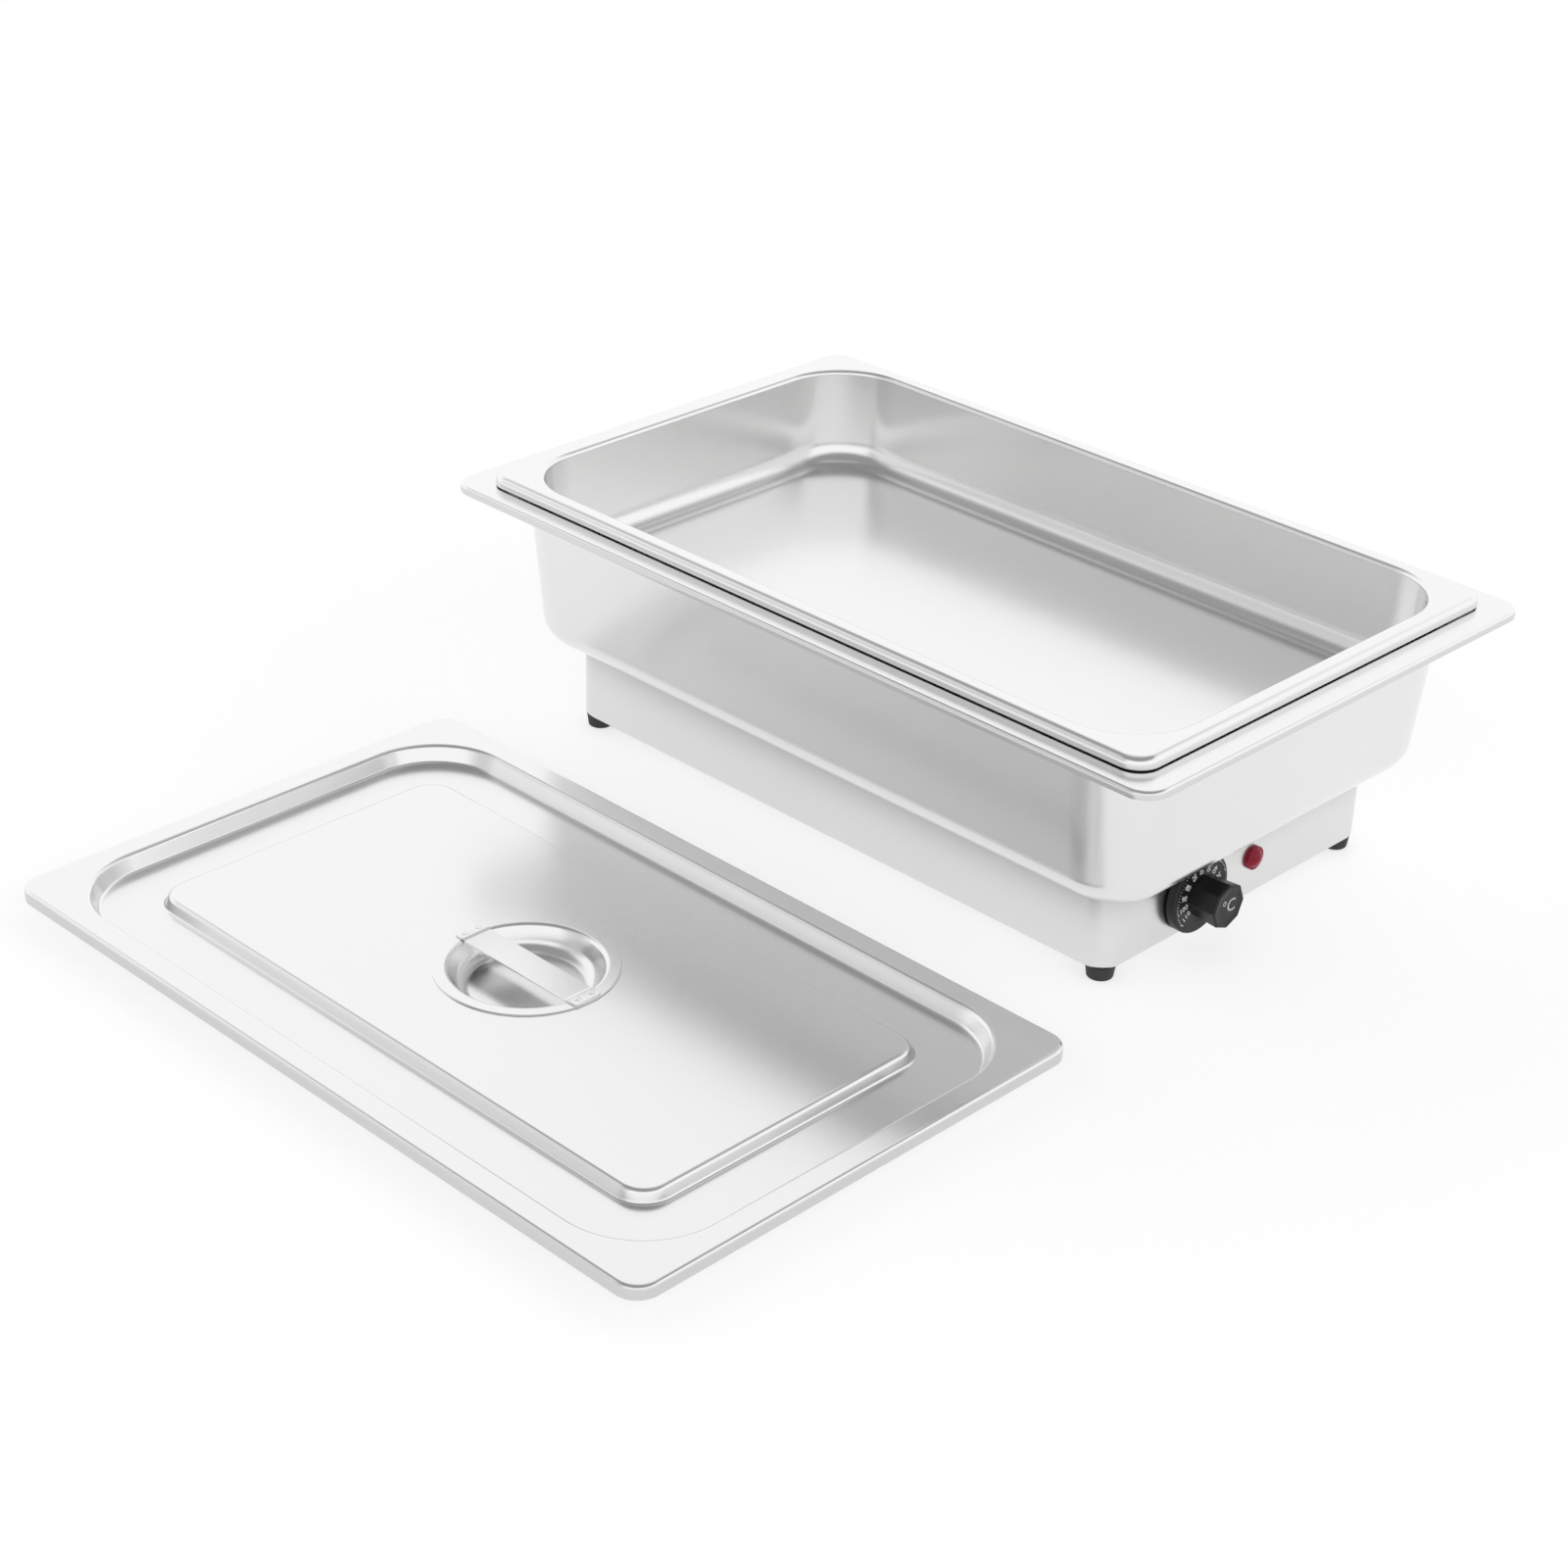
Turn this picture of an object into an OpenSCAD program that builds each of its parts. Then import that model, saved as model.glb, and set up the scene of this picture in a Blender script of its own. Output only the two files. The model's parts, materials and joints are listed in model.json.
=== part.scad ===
// Electric chafing dish: a heated water pan on a closed base, a lift-out food pan and a loose lid.
// Millimetres, +Z up. The origin is on the table, under the centre of the dish.
// +X is the short end with the knob. The lid lies on the table beyond the long side at -Y.

/* [Sheet metal] */
// Thickness of the pressed and folded sheet
sheet_t = 0.8; // [0.6:0.1:1]
// Gap between a loose piece and what it stands on
rest_gap = 0.3; // [0.2:0.05:0.5]
// Outer radius of the bend at the edge of every flange
lip_bend_r = 2.5; // [1.5:0.1:3]

/* [Food pan] */
// Length over the rim
food_l = 530; // [510:1:550]
// Width over the rim
food_w = 325; // [310:1:345]
// Depth from the rim to the underside of the floor
food_depth = 65; // [40:1:85]
// Width of the flat rim, from its edge to the opening
rim_w = 12.5; // [11:0.5:15]
// Height of the rim's turned-down edge
rim_drop = 7.5; // [5:0.5:10]
// Corner radius of the rim's outer edge
rim_r = 15; // [10:0.5:18]
// Lean of the walls, in degrees
food_draft = 4; // [2:0.5:7]
// Radius between the walls and the floor
food_bottom_r = 16; // [10:1:22]
// Corner radius of the flat floor
food_floor_r = 28; // [20:1:34]
// Radius of the bend at the opening
food_bend_r = 3; // [2:0.5:4]

/* [Water pan] */
// Distance from the food pan's edge in to the water pan's opening
seat_w = 6; // [5.5:0.5:6.5]
// Flange beyond the food pan at the short ends
ledge_end = 18; // [12:0.5:26]
// Flange beyond the food pan at the long sides
ledge_side = 14.5; // [10:0.5:22]
// Corner radius of the flange
flange_r = 16; // [11:0.5:20]
// Height of the flange's turned-down lip
flange_drop = 5; // [4:0.5:8]
// Depth from the flange to the underside of the floor
pan_depth = 105.5; // [96:0.5:125]
// Lean of the walls, in degrees
pan_draft = 5.5; // [3:0.5:7]
// Radius between the walls and the floor
pan_bottom_r = 20; // [16:1:26]
// Corner radius of the flat floor
pan_floor_r = 19.4; // [16:0.1:24]
// Radius of the bend at the opening
pan_bend_r = 3; // [2:0.5:3.5]

/* [Base] */
// Distance of the skirt's end faces inside the food pan's rim
skirt_inset_end = 41.5; // [38:0.5:50]
// Distance of the skirt's side faces inside the food pan's rim
skirt_inset_side = 38; // [36:0.5:46]
// Corner radius of the skirt
skirt_r = 16; // [10:1:20]
// Height from the bottom plate to the pan's floor
skirt_h = 51.5; // [49:0.5:58]
// Width of the flange turned in at the skirt's lower edge
return_w = 24; // [21:1:30]
// Thickness of the bottom plate
plate_t = 1; // [0.8:0.1:1.5]
// Distance of the bottom plate's edge inside the skirt
plate_margin = 2; // [1:0.5:4]
// Height of a rubber foot
foot_h = 9; // [8:0.5:12]
// Diameter of a foot at the plate
foot_top_d = 18; // [17:0.5:20]
// Diameter of a foot at the table
foot_low_d = 16; // [14:0.5:17]
// Distance of the feet's axes inside the skirt's faces
foot_inset = 11.5; // [11:0.5:15]
// Diameter of the foot screws
foot_screw_d = 4; // [3:0.5:5]
// Diameter of the plate screws
plate_screw_d = 3.5; // [3:0.5:4]
// Clearance round a screw or a spigot in its hole
hole_gap = 0.15; // [0.1:0.05:0.3]
// Vent slots in each of the two groups
vent_count = 5; // [3:1:7]
// Length of a vent slot
vent_l = 60; // [40:1:80]
// Width of a vent slot
vent_w = 4; // [3:0.5:5]

/* [Lid] */
// Gap on the table between the flange and the lid
lid_gap = 22.5; // [5:0.5:60]
// Clearance of the lid's sunk part in the food pan's opening
lid_fit = 3; // [2:0.5:4]
// Height of the lid's turned-down edge
lid_drop = 8; // [5:0.5:9]
// Depth of the channel below the lid's flange
lid_sink = 10; // [8:0.5:12]
// Height of the raised panel above the channel
lid_rise = 7; // [5:0.5:8]
// Width of the channel's flat floor
channel_w = 32; // [24:1:44]
// Corner radius of the channel's floor at its outer edge
channel_r = 46; // [36:1:54]
// Corner radius of the raised panel's flat top
panel_r = 14; // [8:1:22]
// Lean of the lid's steps, in degrees
lid_draft = 25; // [15:1:35]
// Radius of the lid's bends
lid_bend_r = 3; // [2:0.5:4]
// Height of the cup, from its floor to the top of its ring
cup_h = 14.8; // [12:0.2:20]
// Diameter of the cup's opening
cup_d = 90; // [80:1:100]
// Width of the flat ring round the cup
ring_w = 8.5; // [6:0.5:12]
// Lean of the cup's wall, in degrees
cup_draft = 25; // [15:1:35]
// Radius between the cup's wall and floor
cup_bottom_r = 10; // [6:0.5:11]
// Width of the strap handle
strap_w = 20; // [14:0.5:26]
// Thickness of the strap handle
strap_t = 1.2; // [1:0.1:2]
// Drop of the strap's middle below its welded ends
strap_drop = 0.8; // [0.4:0.1:1.5]
// Length of a welded end on the ring
tab_l = 8; // [6:0.5:10]

/* [Controls] */
// Distance of the knob's axis from the middle of the end, towards -Y
knob_off = 48; // [40:1:56]
// Diameter of the dial
dial_d = 50; // [44:0.5:51]
// Thickness of the dial
dial_t = 6; // [5:0.5:8]
// Gap between the dial and the skirt
dial_lift = 1.2; // [1.1:0.1:2]
// Gap between the dial's top and the level of the pan's floor
dial_top_gap = 0.4; // [0.3:0.1:2]
// Length of the grip beyond the dial
grip_l = 20; // [16:0.5:26]
// Width of the grip across flats at the dial
grip_base_w = 24; // [20:0.5:28]
// Width of the grip across flats at its end
grip_end_w = 26.5; // [20:0.5:32]
// Number of flats on the grip
grip_sides = 8; // [6:1:12]
// Diameter of the thermostat's spindle
spindle_d = 6; // [5:0.5:7]
// Depth of the flat on the spindle
spindle_flat = 1.5; // [1:0.1:2]
// Radial clearance of the spindle in its bearing
shaft_gap = 0.08; // [0.05:0.01:0.1]
// Distance from the knob's axis to the lamp
lamp_pitch = 58; // [50:1:70]
// Diameter of the lamp's lens
lens_d = 15; // [13:0.5:18]
// Diameter of the lamp's hole in the skirt
lamp_hole_d = 10; // [8:0.5:11]
// Bore of the cord gland
cord_bore_d = 8; // [6:0.5:9]
// Diameter of the gland's threaded sleeve
gland_d = 16; // [14:0.5:18]

/* [Heating] */
// Diameter of the element's sheath
element_d = 8; // [6:0.5:9]
// Distance between the element's runs
element_pitch = 56; // [48:1:58]
// Gap that heat paste fills between the floor and what is pressed on it
paste_gap = 0.1; // [0.05:0.05:0.3]
// Width of a clamp bar
bar_w = 20; // [14:1:26]
// Thickness of a clamp bar
bar_t = 2; // [1.5:0.1:3]
// Diameter of the clamp studs
stud_d = 5; // [4:0.5:6]
// Diameter of the sensing bulb
bulb_d = 6; // [5:0.5:7]
// Length of the sensing bulb
bulb_l = 80; // [60:1:90]
// Diameter of the capillary
capillary_d = 2; // [1.5:0.1:2.5]
// Diameter of the thermal cut-out's cap
cutout_d = 16; // [14:0.5:18]
// Diameter of the wires
wire_d = 2.6; // [2:0.1:3]

/* [Hidden] */
$fn = 64;

steel = "gainsboro";
inner_steel = "silver";
black = "#202020";

// Overlap of the flat and the bent stretches of one sheet
lap = 1;

// Places that the driving sizes fix
flange_l = food_l + 2 * ledge_end;
flange_w = food_w + 2 * ledge_side;
pan_open_l = food_l - 2 * seat_w;
pan_open_w = food_w - 2 * seat_w;
food_open_l = food_l - 2 * rim_w;
food_open_w = food_w - 2 * rim_w;
skirt_l = food_l - 2 * skirt_inset_end;
skirt_w = food_w - 2 * skirt_inset_side;
skirt_z = foot_h + plate_t;
floor_z = skirt_z + skirt_h;
flange_z = floor_z + pan_depth;
rim_z = flange_z + rest_gap + rim_drop;
wall_x = skirt_l / 2;
inner_x = wall_x - sheet_t;

// Levels of the lid, which stands on the floor of its cup
lid_y = -(flange_w + food_w) / 2 - lid_gap;
panel_z = cup_h - sheet_t;
channel_z = panel_z - lid_rise - sheet_t;
lid_flange_z = channel_z + sheet_t + lid_sink;
recess_l = food_open_l - 2 * (lid_fit + sheet_t);
recess_w = food_open_w - 2 * (lid_fit + sheet_t);
recess_run = wall_run(lid_sink + sheet_t, lid_draft, lid_bend_r);
panel_l = recess_l - 2 * (recess_run + bend_run(lid_draft, lid_bend_r) + channel_w);
panel_w = recess_w - 2 * (recess_run + bend_run(lid_draft, lid_bend_r) + channel_w);
bowl_gap = 0.5;
strap_margin = 1.5;
strap_l = cup_d + 2 * (ring_w - strap_margin);
strap_end_r = 3;

// Controls on the end at +X, and the gland on the end at -X
knob_y = -knob_off;
knob_z = floor_z - dial_top_gap - dial_d / 2;
lamp_y = knob_y + lamp_pitch;
lamp_rise = -0.7;
lamp_z = knob_z + lamp_rise;
gland_z = skirt_z + skirt_h / 2;
spindle_hole_d = 1.6 * spindle_d;
socket_gap = 0.05;
socket_l = dial_t + 2 * spindle_d;
spindle_in = 20;
thermo_size = [26, 42, 28];
thermo_pitch = 28;
thermo_screw_d = 4;
thermo_screw_l = 7;
thermo_head_h = 0.8;
thermo_x = inner_x - thermo_size[0];
lamp_body_l = 24;
lamp_ring_t = 2;
lens_h = 6;
gland_in = 12;
gland_nut_t = 5;
gland_hex_d = 1.4 * gland_d;

// Heating parts under the pan's floor: insets of the element and its turns, and of the bars from the turns
element_z = floor_z - paste_gap - element_d / 2;
element_inset = 62;
element_reach = wall_x - element_inset;
turn_r = element_pitch / 2;
turn_setback = 23;
turn_low_x = -element_reach + turn_r;
turn_high_x = element_reach - turn_setback - turn_r;
outer_run_y = 1.5 * element_pitch;
seal_l = 8;
pin_l = 10;
pin_d = 3;
pin_end_x = element_reach + seal_l + pin_l;
bar_inset = 40;
bar_x = [turn_low_x + bar_inset, turn_high_x - bar_inset];
bar_z = element_z - element_d / 2 - bar_t;
stud_y = outer_run_y + element_d / 2 + 2 * stud_d;
nut_t = 4;
bulb_x = bar_x[1] - bar_w / 2 - bulb_l / 2;
bulb_z = floor_z - paste_gap - bulb_d / 2;
clip_w = 10;
clip_t = 1;
ear_l = 6;
cutout_x = (bar_x[0] + bar_x[1]) / 2;
cutout_y = element_pitch;
cutout_cap_h = 4;
cutout_base_d = cutout_d - 2;
cutout_base_h = 9;
cutout_tab_w = 4;
cutout_tab_t = 0.8;
cutout_tab_h = 8;
cutout_z = floor_z - paste_gap - cutout_cap_h - cutout_base_h;

// Supply parts on the bottom plate, and their distances from the skirt's end face
terminal_size = [20, 38, 18];
terminal_inset = 62;
terminal_x = -wall_x + terminal_inset;
terminal_y = 45;
terminal_pitch = 12;
terminal_screw_d = 3.6;
terminal_screw_l = 3.6;
earth_inset = 45;
earth_x = -wall_x + earth_inset;
earth_y = -40;
earth_l = 14;

// Wires: gap at a joint, straight length where a wire leaves a piece, and height over the base
wire_gap = 0.2;
lead = 12;
low_z = skirt_z + 7;
lamp_lead_d = 2;
lamp_lead_y = 2.2;

// Rounded to a hundredth, so that faces that meet have the same place
function hundredth(v) = round(v * 100) / 100;

// Points of an arc about c
function arc(c, r, from, to, steps = 8) =
    [for (i = [0 : steps]) let (a = from + (to - from) * i / steps) c + r * [cos(a), sin(a)]];

// Horizontal run of a pressed wall from the flat floor to the opening
function wall_run(depth, draft, bottom_r) =
    hundredth(((depth - bottom_r) * sin(draft) + bottom_r - sheet_t) / cos(draft));

// Horizontal run of the bend from the opening to the flat flange
function bend_run(draft, bend_r) = hundredth(bend_r * (1 - sin(draft)) / cos(draft));

// Underside and top of a pressed wall. The flange's top is at 0 and the floor's underside at -depth.
// Both run on flat into the floor and into the flange.
function wall_under(depth, draft, bottom_r, bend_r, floor_r) =
    let (bend_x = floor_r + wall_run(depth, draft, bottom_r) + bend_run(draft, bend_r))
    concat([[floor_r - lap, -depth]],
           arc([floor_r, bottom_r - depth], bottom_r, -90, -draft),
           arc([bend_x, -bend_r], bend_r - sheet_t, 180 - draft, 90, 4),
           [[bend_x + lap, -sheet_t]]);

function wall_top(depth, draft, bottom_r, bend_r, floor_r) =
    let (bend_x = floor_r + wall_run(depth, draft, bottom_r) + bend_run(draft, bend_r))
    concat([[bend_x + lap, 0]],
           arc([bend_x, -bend_r], bend_r, 90, 180 - draft, 4),
           arc([floor_r, bottom_r - depth], bottom_r - sheet_t, -draft, -90),
           [[floor_r - lap, sheet_t - depth]]);

// Section of a turned-down edge whose outer face is r from the corner's centre
function lip_section(r, drop) =
    let (c = [r - lip_bend_r, -lip_bend_r])
    concat([[c[0] - lap, 0]],
           arc(c, lip_bend_r, 90, 0, 4),
           [[r, -drop], [r - sheet_t, -drop]],
           arc(c, lip_bend_r - sheet_t, 0, 90, 4),
           [[c[0] - lap, -sheet_t]]);

// Rectangle with rounded corners, whose centres are at x, y
module round_plate(x, y, r) {
    square([2 * (x + r), 2 * y], center = true);
    square([2 * x, 2 * (y + r)], center = true);
    for (i = [-1, 1], j = [-1, 1]) translate([i * x, j * y]) circle(r);
}

module round_rect(l, w, r) {
    round_plate(l / 2 - r, w / 2 - r, r);
}

// Rectangle along Y with round ends
module slot(l, w) {
    square([w, l - w], center = true);
    for (y = [-1, 1]) translate([0, y * (l - w) / 2]) circle(d = w);
}

// A section swept round a rectangle with rounded corners, whose centres are at x, y
module round_sweep(x, y) {
    for (turn = [0 : 3]) {
        half = turn % 2 == 0 ? [x, y] : [y, x];
        rotate(90 * turn) {
            translate(half) rotate_extrude(angle = 90) children();
            translate([half[0], 0, 0]) rotate([90, 0, 0])
                linear_extrude(height = 2 * half[1], center = true) children();
        }
    }
}

// Outline of the hole in a flange where a pressed wall begins
module mouth(l, w, depth, draft, bottom_r, bend_r, floor_r) {
    corner = floor_r + wall_run(depth, draft, bottom_r);
    round_plate(hundredth(l / 2 - corner), hundredth(w / 2 - corner), corner + bend_run(draft, bend_r));
}

// Walls and floor of a pressing whose opening is l by w. Children are cut from its floor.
module pressing(l, w, depth, draft, bottom_r, bend_r, floor_r) {
    corner = floor_r + wall_run(depth, draft, bottom_r);
    x = hundredth(l / 2 - corner);
    y = hundredth(w / 2 - corner);
    round_sweep(x, y)
        polygon(concat(wall_under(depth, draft, bottom_r, bend_r, floor_r),
                       wall_top(depth, draft, bottom_r, bend_r, floor_r)));
    translate([0, 0, -depth]) linear_extrude(height = sheet_t) difference() {
        round_plate(x, y, floor_r);
        children();
    }
}

// Flat flange with a turned-down edge. Children are the hole in it.
module edged_flange(l, w, r, drop) {
    x = hundredth(l / 2 - r);
    y = hundredth(w / 2 - r);
    translate([0, 0, -sheet_t]) linear_extrude(height = sheet_t) difference() {
        round_plate(x, y, r - lip_bend_r);
        children();
    }
    round_sweep(x, y) polygon(lip_section(r, drop));
}

// Turns what stands along +Z so that it points along +X
module along_x() {
    rotate([0, 90, 0]) children();
}

// Screw with its head below 0 and its shank above
module screw(d, l, head_h) {
    translate([0, 0, -head_h]) cylinder(d = 2 * d, h = head_h);
    cylinder(d = d, h = l);
}

// Hexagon nut that stands on 0
module nut(d, h) {
    difference() {
        cylinder(d = 2 * d, h = h, $fn = 6);
        translate([0, 0, -1]) cylinder(d = d + 2 * hole_gap, h = h + 2);
    }
}

module at_feet() {
    for (x = [-1, 1], y = [-1, 1])
        translate([x * (wall_x - foot_inset), y * (skirt_w / 2 - foot_inset), 0]) children();
}

module at_plate_screws() {
    for (x = [-1, 1], y = [-1, 1])
        translate([x * skirt_l / 5, y * (skirt_w - return_w) / 2, 0]) children();
    for (x = [-1, 1], y = [-1, 1])
        translate([x * (skirt_l - return_w) / 2, y * skirt_w / 5, 0]) children();
}

module at_studs() {
    for (x = bar_x, y = [-stud_y, stud_y]) translate([x, y, 0]) children();
}

// Water pan

module water_pan() color(steel) translate([0, 0, flange_z]) {
    edged_flange(flange_l, flange_w, flange_r, flange_drop)
        mouth(pan_open_l, pan_open_w, pan_depth, pan_draft, pan_bottom_r, pan_bend_r, pan_floor_r);
    pressing(pan_open_l, pan_open_w, pan_depth, pan_draft, pan_bottom_r, pan_bend_r, pan_floor_r);
}

// Solid below the middle of the pan's wall, which trims the skirt's upper edge to the pan
module pan_envelope() {
    run = wall_run(pan_depth, pan_draft, pan_bottom_r);
    x = hundredth(pan_open_l / 2 - pan_floor_r - run);
    y = hundredth(pan_open_w / 2 - pan_floor_r - run);
    translate([0, 0, floor_z]) {
        round_sweep(x, y)
            polygon(concat([[0, 0]], arc([pan_floor_r, pan_bottom_r], pan_bottom_r, -90, 0),
                           [[0, pan_bottom_r]]));
        translate([-x, -y, 0]) cube([2 * x, 2 * y, pan_bottom_r]);
    }
}

// Base

module base_skirt() color(steel) difference() {
    translate([0, 0, skirt_z]) {
        linear_extrude(height = skirt_h + pan_bottom_r / 2) difference() {
            round_rect(skirt_l, skirt_w, skirt_r);
            round_rect(skirt_l - 2 * sheet_t, skirt_w - 2 * sheet_t, skirt_r - sheet_t);
        }
        linear_extrude(height = sheet_t) difference() {
            round_rect(skirt_l - sheet_t, skirt_w - sheet_t, skirt_r - sheet_t / 2);
            square([skirt_l - 2 * return_w, skirt_w - 2 * return_w], center = true);
        }
    }
    pan_envelope();
    at_feet() cylinder(d = foot_screw_d + 2 * hole_gap, h = floor_z);
    at_plate_screws() cylinder(d = plate_screw_d + 2 * hole_gap, h = floor_z - 2);
    translate([thermo_x, knob_y, knob_z]) along_x() cylinder(d = spindle_hole_d, h = wall_x);
    at_thermo_screws() cylinder(d = thermo_screw_d + 2 * hole_gap, h = wall_x, center = true);
    translate([thermo_x, lamp_y, lamp_z]) along_x() cylinder(d = lamp_hole_d, h = wall_x);
    translate([-wall_x - 1, 0, gland_z]) along_x() cylinder(d = gland_d + 2 * hole_gap, h = 10);
}

module bottom_plate() color(inner_steel) translate([0, 0, foot_h]) difference() {
    linear_extrude(height = plate_t)
        round_rect(skirt_l - 2 * plate_margin, skirt_w - 2 * plate_margin, skirt_r - plate_margin);
    translate([0, 0, -1]) {
        at_feet() cylinder(d = foot_screw_d + 2 * hole_gap, h = plate_t + 2);
        at_plate_screws() cylinder(d = plate_screw_d + 2 * hole_gap, h = plate_t + 2);
        for (x = [-1, 1], i = [0 : vent_count - 1])
            translate([x * skirt_l / 7 + (i - (vent_count - 1) / 2) * 2.5 * vent_w, 0, 0])
                linear_extrude(height = plate_t + 2) slot(vent_l, vent_w);
    }
}

module plate_screws() color(inner_steel)
    translate([0, 0, foot_h]) at_plate_screws()
        screw(plate_screw_d, plate_t + sheet_t + 4, 0.6 * plate_screw_d);

// One foot. Its screw's head sits in the recess from below.
module foot(x, y) color(black) translate([x * (wall_x - foot_inset), y * (skirt_w / 2 - foot_inset), 0])
    difference() {
        cylinder(d1 = foot_low_d, d2 = foot_top_d, h = foot_h);
        translate([0, 0, -1]) cylinder(d = 2 * foot_screw_d + 1, h = foot_h / 2 + 1);
        cylinder(d = foot_screw_d + 2 * hole_gap, h = foot_h + 1);
    }

module foot_screws() color(inner_steel) translate([0, 0, foot_h / 2])
    at_feet() screw(foot_screw_d, foot_h / 2 + plate_t + sheet_t + nut_t, 0.6 * foot_screw_d);

module foot_nuts() color(inner_steel) translate([0, 0, skirt_z + sheet_t])
    at_feet() nut(foot_screw_d, 0.8 * foot_screw_d);

// Food pan

module food_pan() color(steel) translate([0, 0, rim_z]) {
    edged_flange(food_l, food_w, rim_r, rim_drop)
        mouth(food_open_l, food_open_w, food_depth, food_draft, food_bottom_r, food_bend_r, food_floor_r);
    pressing(food_open_l, food_open_w, food_depth, food_draft, food_bottom_r, food_bend_r, food_floor_r);
}

// Lid

module panel_mouth() {
    mouth(panel_l, panel_w, lid_rise + sheet_t, lid_draft, lid_bend_r, lid_bend_r, panel_r);
}

module lid_panel() color(steel) translate([0, lid_y, 0]) {
    translate([0, 0, lid_flange_z]) {
        edged_flange(food_l, food_w, rim_r, lid_drop)
            mouth(recess_l, recess_w, lid_sink + sheet_t, lid_draft, lid_bend_r, lid_bend_r, channel_r);
        pressing(recess_l, recess_w, lid_sink + sheet_t, lid_draft, lid_bend_r, lid_bend_r, channel_r)
            panel_mouth();
    }
    translate([0, 0, channel_z]) mirror([0, 0, 1])
        pressing(panel_l, panel_w, lid_rise + sheet_t, lid_draft, lid_bend_r, lid_bend_r, panel_r)
            circle(d = cup_d + 2 * (bend_run(cup_draft, lid_bend_r) + bowl_gap));
}

module lid_cup() color(steel) translate([0, lid_y, cup_h]) {
    floor_r = cup_d / 2 - wall_run(cup_h, cup_draft, cup_bottom_r);
    ring_r = cup_d / 2 + ring_w;
    rotate_extrude()
        polygon(concat([[0, -cup_h]],
                       wall_under(cup_h, cup_draft, cup_bottom_r, lid_bend_r, floor_r),
                       [[ring_r, -sheet_t], [ring_r, 0]],
                       wall_top(cup_h, cup_draft, cup_bottom_r, lid_bend_r, floor_r),
                       [[0, sheet_t - cup_h]]));
}

// Flat strap whose ends are set down on the ring
module lid_strap() color(steel) translate([0, lid_y, cup_h]) intersection() {
    step = 2 * strap_drop;
    end_x = strap_l / 2;
    tab_x = end_x - tab_l;
    rotate([90, 0, 0]) linear_extrude(height = 2 * strap_w, center = true)
        polygon([[-end_x, 0], [-tab_x, 0], [-tab_x + step, -strap_drop], [tab_x - step, -strap_drop],
                 [tab_x, 0], [end_x, 0], [end_x, strap_t], [tab_x, strap_t],
                 [tab_x - step, strap_t - strap_drop], [-tab_x + step, strap_t - strap_drop],
                 [-tab_x, strap_t], [-end_x, strap_t]]);
    translate([0, 0, -strap_t - strap_drop]) linear_extrude(height = 3 * strap_t + strap_drop)
        round_rect(strap_l, strap_w, strap_end_r);
}

// Controls

module at_thermo_screws() {
    for (y = [-1, 1])
        translate([wall_x, knob_y + y * thermo_pitch / 2, knob_z]) along_x() children();
}

// Spindle's section with its flat, or with a clearance the knob's socket
module spindle_section(gap) {
    intersection() {
        circle(d = spindle_d + 2 * gap);
        translate([-spindle_d, -spindle_d])
            square([2 * spindle_d, 1.5 * spindle_d - spindle_flat + gap]);
    }
}

// Grip with flats that lean out towards its end
module grip() {
    lean = atan((grip_end_w - grip_base_w) / 2 / grip_l);
    difference() {
        cylinder(d = 1.2 * grip_end_w, h = grip_l);
        for (i = [0 : grip_sides - 1])
            rotate(360 / grip_sides * i) translate([grip_base_w / 2, 0, 0]) rotate([0, lean, 0])
                translate([0, -grip_end_w, -grip_l]) cube([grip_end_w, 2 * grip_end_w, 3 * grip_l]);
    }
}

module control_knob() color(black) translate([wall_x + dial_lift, knob_y, knob_z]) along_x()
    difference() {
        union() {
            edge = 1.5;
            rotate_extrude()
                polygon(concat([[0, 0], [dial_d / 2, 0]],
                               arc([dial_d / 2 - edge, dial_t - edge], edge, 0, 90, 4), [[0, dial_t]]));
            translate([0, 0, dial_t]) grip();
        }
        translate([0, 0, -1]) linear_extrude(height = socket_l + 1) spindle_section(socket_gap);
    }

module thermostat_spindle() color(inner_steel)
    translate([inner_x - spindle_in + rest_gap, knob_y, knob_z]) along_x() {
        round_l = spindle_in - rest_gap + sheet_t + dial_lift - 1;
        cylinder(d = spindle_d, h = round_l);
        translate([0, 0, round_l]) linear_extrude(height = socket_l) spindle_section(0);
    }

module thermostat_body() color("dimgray") difference() {
    translate([thermo_x, knob_y - thermo_size[1] / 2, knob_z - thermo_size[2] / 2]) cube(thermo_size);
    translate([inner_x - spindle_in, knob_y, knob_z]) along_x()
        cylinder(d = spindle_d + 2 * shaft_gap, h = spindle_in + 1);
    at_thermo_screws() translate([0, 0, -thermo_screw_l - 1])
        cylinder(d = thermo_screw_d + 2 * hole_gap, h = thermo_screw_l + 2);
}

module thermostat_screws() color(inner_steel)
    at_thermo_screws() mirror([0, 0, 1]) screw(thermo_screw_d, thermo_screw_l, thermo_head_h);

module lamp_lens() color("firebrick") translate([wall_x, lamp_y, lamp_z]) along_x()
    rotate_extrude() {
        rim = 1.5;
        square([lens_d / 2, rim]);
        intersection() {
            translate([0, rim - (pow(lens_d / 2 - 1, 2) - pow(lens_h - rim, 2)) / 2 / (lens_h - rim)])
                circle(r = (pow(lens_d / 2 - 1, 2) + pow(lens_h - rim, 2)) / 2 / (lens_h - rim));
            translate([0, rim / 2]) square([lens_d, lens_h]);
        }
    }

module lamp_body() color("ivory") translate([wall_x - lamp_body_l, lamp_y, lamp_z]) along_x()
    cylinder(d = lamp_hole_d - 2 * hole_gap, h = lamp_body_l);

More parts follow.
